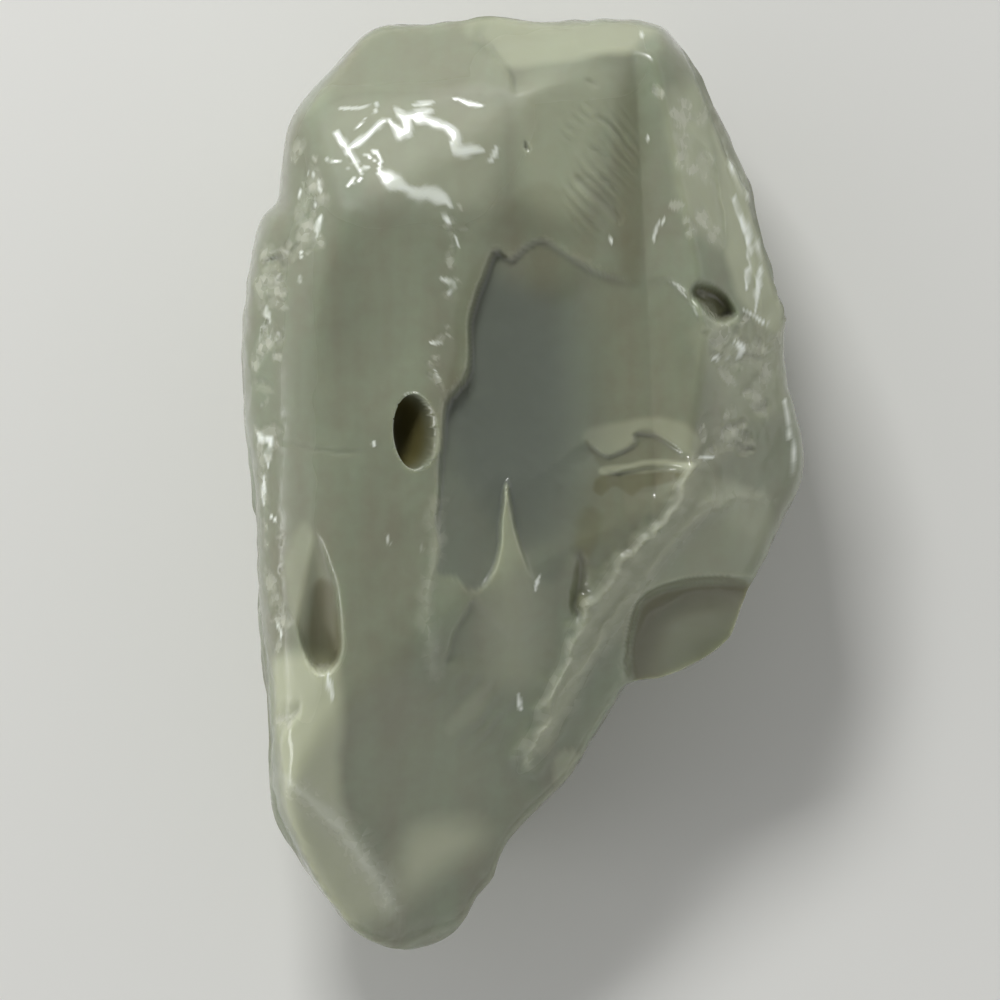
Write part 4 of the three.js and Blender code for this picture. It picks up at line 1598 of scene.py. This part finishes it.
    def normals(self, skin: np.ndarray) -> np.ndarray:
        """Work out the skin's outward normals from the differences along rings and spokes.

        Args:
            skin: Points, ring by ring.

        Returns:
            Unit normals in the same order.
        """
        grid = skin.reshape(-1, self.spokes, 3)
        around = np.roll(grid, -1, axis=1) - np.roll(grid, 1, axis=1)
        down = np.gradient(grid, axis=0)
        normal = np.cross(down, around)
        size = np.linalg.norm(normal, axis=2, keepdims=True)
        normal = normal / np.maximum(size, TINY)
        normal[0] = (0.0, 0.0, 1.0)
        normal[-1] = (0.0, 0.0, -1.0)
        return normal.reshape(-1, 3)

    def drawn(self, skin: np.ndarray, jitter: np.ndarray,
              fine: np.ndarray) -> tuple[np.ndarray, dict[Tone, np.ndarray]]:
        """Work out all that is drawn on the front.

        Lines, chips, polished folds, glints and hackle add up their heights. Where two of them mark
        the same tone, the stronger mark holds. Lines and chips mark crushed paleness with painted sheen,
        zones lay their tones, mostly painted light and painted shade, and polished folds and glints lay
        painted highlights.

        Args:
            skin: Points before the drawn relief is added.
            jitter: Coarse noise at each point.
            fine: Fine noise at each point.

        Returns:
            Height added at each point, and how much of each tone is there.
        """
        plan = skin[:, :2]
        added = np.zeros(len(skin))
        marks = {tone: np.zeros(len(skin)) for tone in Tone}
        ragged = jitter + self.ragged_share * fine
        # Lines and chips: crushed paleness with painted sheen
        for line in self.lines:
            height, mark = line.rise(plan, ragged)
            added += height
            marks[Tone.BRUISE_AND_SHEEN] = np.maximum(marks[Tone.BRUISE_AND_SHEEN], mark)
        for row in self.chips:
            dent, mark = row.rise(plan + self.chip_stray * np.column_stack([jitter, fine]))
            added += dent
            marks[Tone.BRUISE_AND_SHEEN] = np.maximum(marks[Tone.BRUISE_AND_SHEEN], mark)
        # Zones: their tones, mostly painted light and painted shade
        for zone in self.zones:
            marks[zone.tone] = np.maximum(marks[zone.tone], zone.mark(plan, jitter))
        stray = np.column_stack([fine, jitter])
        # Polished folds: glossier and slightly raised, with a painted highlight
        for gloss in self.glosses:
            mark = gloss.mark(plan + self.gloss_stray * stray, fine)
            added += self.gloss_rise * mark
            marks[Tone.DULL] = marks[Tone.DULL] * (1.0 - mark)
            marks[Tone.GLINT] = np.maximum(marks[Tone.GLINT], self.gloss_share * mark)
        # Glints: painted highlights, slightly raised and broken into patches
        patchy = np.clip(self.patch_mean + self.patches.at(skin), 0.0, 1.0)
        for glint in self.glints:
            mark = glint.mark(plan + self.glint_stray * stray, fine) * patchy
            added += self.glint_rise * mark
            marks[Tone.GLINT] = np.maximum(marks[Tone.GLINT], mark)
        for hackle in self.striations:
            added += hackle.rise(plan, jitter)
        return added, marks

    def sunk(self, plan: np.ndarray, on_top: np.ndarray) -> np.ndarray:
        """Work out how far the bubbles take the skin in: the deepest of them, along its lean.

        Args:
            plan: Places in plan, one a row.
            on_top: Whether each place is on the front.

        Returns:
            Move of each place in millimetres.
        """
        sunk = np.zeros((len(plan), 3))
        for bubble in self.bubbles:
            fall = bubble.fall(plan) * on_top
            deeper = fall > -sunk[:, 2]
            sunk = np.where(deeper[:, None], fall[:, None] * np.array([*bubble.lean, -1.0]), sunk)
        return sunk

    def relief(self, skin: np.ndarray) -> tuple[np.ndarray, dict[str, np.ndarray]]:
        """Work the fine breakage into the skin.

        The hollows lower the front, the drawn relief is added to it, and the swell of the whole skin
        and the ribs of its sides go along the normals. The tones, including painted light, painted shade
        and painted highlights, are kept to the front, apart from the crushed paleness with painted sheen
        of worn ridges, which is on all sides.

        Args:
            skin: The broken skin's points.

        Returns:
            The finished points, and the marks that the finish reads at each point.
        """
        facing = self.normals(skin)
        front = self.front.at(facing[:, 2])
        on_top = facing[:, 2] > self.bubble_facing
        plan = skin[:, :2].copy()
        for bubble in self.bubbles:
            plan = np.where(on_top[:, None], bubble.snapped(plan, self.rim_band), plan)
        skin = np.column_stack([plan, skin[:, 2]])
        jitter, fine = self.jitter.at(skin), self.fine.at(skin)
        lowered, _ = self.ledge.lowered(plan, skin[:, 2], jitter)
        lowered, cold = self.hollow.lowered(plan, lowered, jitter)
        lowered, gash = self.trough.lowered(plan, lowered, jitter)
        pitted = sum(pit.fall(plan) for pit in self.pits)
        added, marks = self.drawn(skin, jitter, fine)
        added += np.where(front > 0.0, lowered - skin[:, 2] - pitted, 0.0)
        swell = sum(layer.at(skin) for layer in self.swells) + self.fine_swell * fine
        swell += (1.0 - front) * sum(ripple.rise(skin, jitter) for ripple in self.ripples)
        sunk = self.sunk(plan, on_top)
        moved = skin + facing * swell[:, None]
        moved[:, 2] += front * added
        moved += sunk
        moved[:, 2] = np.maximum(moved[:, 2], 0.0)
        # Painted olive shade, deepening with the depth of the bubbles, the trough and the pits
        painted_shade = (self.shaft_shade.at(-sunk[:, 2]), self.trough_shade.at(gash), self.pit_shade.at(pitted))
        marks[Tone.OLIVE] = np.maximum.reduce([*painted_shade, marks[Tone.OLIVE]])
        # Painted shade on the hollow's cool tone, deepening with its depth and towards its left wall
        cooled = self.hollow_cool.at(cold) * (self.cool_least + self.cool_leftward.at(plan[:, 0]))
        marks[Tone.COOL] = np.maximum(marks[Tone.COOL], cooled)
        upper = front * np.maximum(self.upper.at(moved[:, 2]), self.scoop.within(plan))
        marks = {tone: upper * mark for tone, mark in marks.items()}
        # Crushed paleness with painted sheen on worn ridges, on all sides
        marks[Tone.BRUISE_AND_SHEEN] = np.maximum(self.worn_and_sheen(moved), marks[Tone.BRUISE_AND_SHEEN])
        # Painted olive shade at the foot of the scoop's wall
        scooped = self.scoop_shade_share * front * self.scoop.shade(plan, *self.scoop_shade)
        marks[Tone.OLIVE] = np.maximum(marks[Tone.OLIVE], scooped)
        return moved, {tone.value: mark for tone, mark in marks.items()}

    def worn_and_sheen(self, skin: np.ndarray) -> np.ndarray:
        """Find the ridges: places that stand out from the mean of the skin round them.

        Args:
            skin: Points, ring by ring.

        Returns:
            How worn each place is, laid on as crushed paleness with painted sheen.
        """
        grid = skin.reshape(-1, self.spokes, 3)
        facing = self.normals(skin).reshape(grid.shape)
        step = self.ridge_step
        left, right = np.roll(grid, step, axis=1), np.roll(grid, -step, axis=1)
        padded = np.concatenate([grid[:step], grid, grid[-step:]])
        mean = (left + right + padded[:-2 * step] + padded[2 * step:]) / 4.0
        out = np.sum((grid - mean) * facing, axis=2)
        gap = np.linalg.norm(left - right, axis=2) + self.ridge_gap
        return self.wear_and_sheen.at(out / gap).reshape(-1)

    def faces(self, rings: int) -> tuple[np.ndarray, np.ndarray]:
        """List the faces between rings, with each end ring drawn together to one pole.

        Args:
            rings: Number of rings, the two poles included.

        Returns:
            Quads between the rings and triangles round the poles, turned to face outwards.
        """
        index = 1 + np.arange((rings - 2) * self.spokes).reshape(rings - 2, self.spokes)
        after = np.roll(index, -1, axis=1)
        quads = np.stack([index[:-1], index[1:], after[1:], after[:-1]], axis=-1).reshape(-1, 4)
        last = 1 + (rings - 2) * self.spokes
        top = np.stack([np.zeros(self.spokes, dtype=int), index[0], after[0]], axis=-1)
        bottom = np.stack([np.full(self.spokes, last), after[-1], index[-1]], axis=-1)
        return quads, np.vstack([top, bottom])

    def build(self) -> bpy.types.Object:
        """Make the lump's object, set it in the solid's box and dress it.

        Returns:
            The finished object.
        """
        skin, marks = self.relief(self.broken())
        rings = len(skin) // self.spokes
        keep = np.concatenate([[0], np.arange(self.spokes, (rings - 1) * self.spokes),
                               [(rings - 1) * self.spokes]])
        points = skin[keep]
        low, high = (np.array(corner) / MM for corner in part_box(self.node))
        middle = (points.min(axis=0) + points.max(axis=0)) / 2.0
        points[:, :2] += ((low + high) / 2.0 - middle)[:2]
        quads, triangles = self.faces(rings)
        mesh = bpy.data.meshes.new(self.node + "_skin")
        mesh.from_pydata((points * MM).tolist(), [], quads.tolist() + triangles.tolist())
        mesh.polygons.foreach_set("use_smooth", np.ones(len(mesh.polygons), dtype=bool))
        for name, values in marks.items():
            layer = mesh.attributes.new(name, "FLOAT", "POINT")
            layer.data.foreach_set("value", values[keep].astype(np.float32))
        mesh.update()
        piece = bpy.data.objects.new(self.node + "_skin", mesh)
        bpy.context.collection.objects.link(piece)
        mesh.materials.append(self.finish.material())
        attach(piece, self.body)
        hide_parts(self.node)
        return piece


@dataclass(frozen=True)
class SoftLamp:
    """One rectangular lamp: where it hangs in metres, its width and height, and its power in watts."""

    name: str
    place: Point3
    size: Point2
    watts: float

    def hang(self, height: float) -> None:
        """Hang the lamp, aimed at a place above the middle of the floor.

        Args:
            height: Height of that place, in metres.
        """
        light = bpy.data.lights.new(self.name, "AREA")
        light.shape = "RECTANGLE"
        light.size, light.size_y = self.size
        light.energy = self.watts
        lamp = bpy.data.objects.new(self.name, light)
        lamp.location = self.place
        ray = np.array([0.0, 0.0, height]) - np.array(self.place)
        flat = math.hypot(ray[0], ray[1])
        lean, turn = math.atan2(flat, -ray[2]), math.atan2(ray[1], ray[0]) - FULL_TURN / 4.0
        lamp.rotation_euler = (lean, 0.0, turn)
        bpy.context.collection.objects.link(lamp)


@dataclass
class Studio:
    """A pale floor, soft lamps and the camera that looks straight down on the lump, in metres."""

    # The floor
    floor_size: float = 6.0
    floor_colour: str = "#e4e4e0"
    floor_roughness: float = 0.9
    # The camera, its focus, and the width and centre of what it takes in there
    camera_height: float = 3.0
    camera_near: float = 0.01
    focus_height: float = 0.020
    view_width: float = 0.1176
    view_centre: Point2 = (-0.0027, -0.0019)
    sensor_mm: float = 36.0
    # Light from all round, and how high above the horizon it has dimmed
    horizon_light: float = 1.3
    zenith_light: float = 0.2
    zenith_edge: float = 0.9
    # The lamps
    lamps: tuple[SoftLamp, ...] = (
        SoftLamp("key", (-0.2, 0.575, 0.6), (0.26, 0.16), 4.3),
        SoftLamp("left", (-0.85, -0.25, 0.25), (0.5, 0.2), 1.7),
    )

    def floor(self) -> bpy.types.Object:
        """Lay the floor under the lump.

        Returns:
            The floor.
        """
        half = self.floor_size / 2.0
        corners = [(-half, -half, 0.0), (half, -half, 0.0), (half, half, 0.0), (-half, half, 0.0)]
        mesh = bpy.data.meshes.new("floor")
        mesh.from_pydata(corners, [], [(0, 1, 2, 3)])
        material = bpy.data.materials.new("matt_paper")
        material.use_nodes = True
        shader = material.node_tree.nodes["Principled BSDF"]
        shader.inputs["Base Color"].default_value = linear(self.floor_colour)
        shader.inputs["Roughness"].default_value = self.floor_roughness
        mesh.materials.append(material)
        floor = bpy.data.objects.new("floor", mesh)
        bpy.context.collection.objects.link(floor)
        return floor

    def camera(self) -> bpy.types.Object:
        """Set the camera over the lump, with a lens that takes in the view's width at the focus.

        Returns:
            The camera.
        """
        camera = bpy.data.cameras.new("camera")
        camera.sensor_width = self.sensor_mm
        camera.lens = self.sensor_mm * (self.camera_height - self.focus_height) / self.view_width
        camera.clip_start = self.camera_near
        viewer = bpy.data.objects.new("camera", camera)
        viewer.location = (*self.view_centre, self.camera_height)
        bpy.context.collection.objects.link(viewer)
        return viewer

    def world(self) -> bpy.types.World:
        """Make the light from all round: bright at the horizon and dim overhead.

        Returns:
            The world.
        """
        world = bpy.data.worlds.new("studio")
        world.use_nodes = True
        tree = world.node_tree
        tree.nodes.clear()
        direction = add_node(tree, "ShaderNodeTexCoord").outputs["Generated"]
        height = add_node(tree, "ShaderNodeSeparateXYZ", {0: direction})
        strength = add_node(tree, "ShaderNodeMapRange", {
            "Value": height.outputs[2], "From Min": 0.0, "From Max": self.zenith_edge,
            "To Min": self.horizon_light, "To Max": self.zenith_light})
        glow = add_node(tree, "ShaderNodeBackground", {"Strength": strength.outputs[0]})
        add_node(tree, "ShaderNodeOutputWorld", {"Surface": glow.outputs[0]})
        return world

    def build(self) -> None:
        """Lay the floor, hang the lamps and set up the camera and the world's light."""
        self.floor()
        for lamp in self.lamps:
            lamp.hang(self.focus_height)
        scene = bpy.context.scene
        scene.camera = self.camera()
        scene.world = self.world()
        scene.view_settings.view_transform = "Standard"


def main() -> None:
    """Build the studio and the lump, and log how many nodes the frame holds and how many points the lump
    has.
    """
    logging.basicConfig(level=logging.INFO)
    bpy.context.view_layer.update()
    LOG.info("frame holds %d node", len(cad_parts))
    Studio().build()
    lump = CulletLump().build()
    LOG.info("%s: %d points", lump.name, len(lump.data.vertices))


if __name__ == "__main__":
    main()
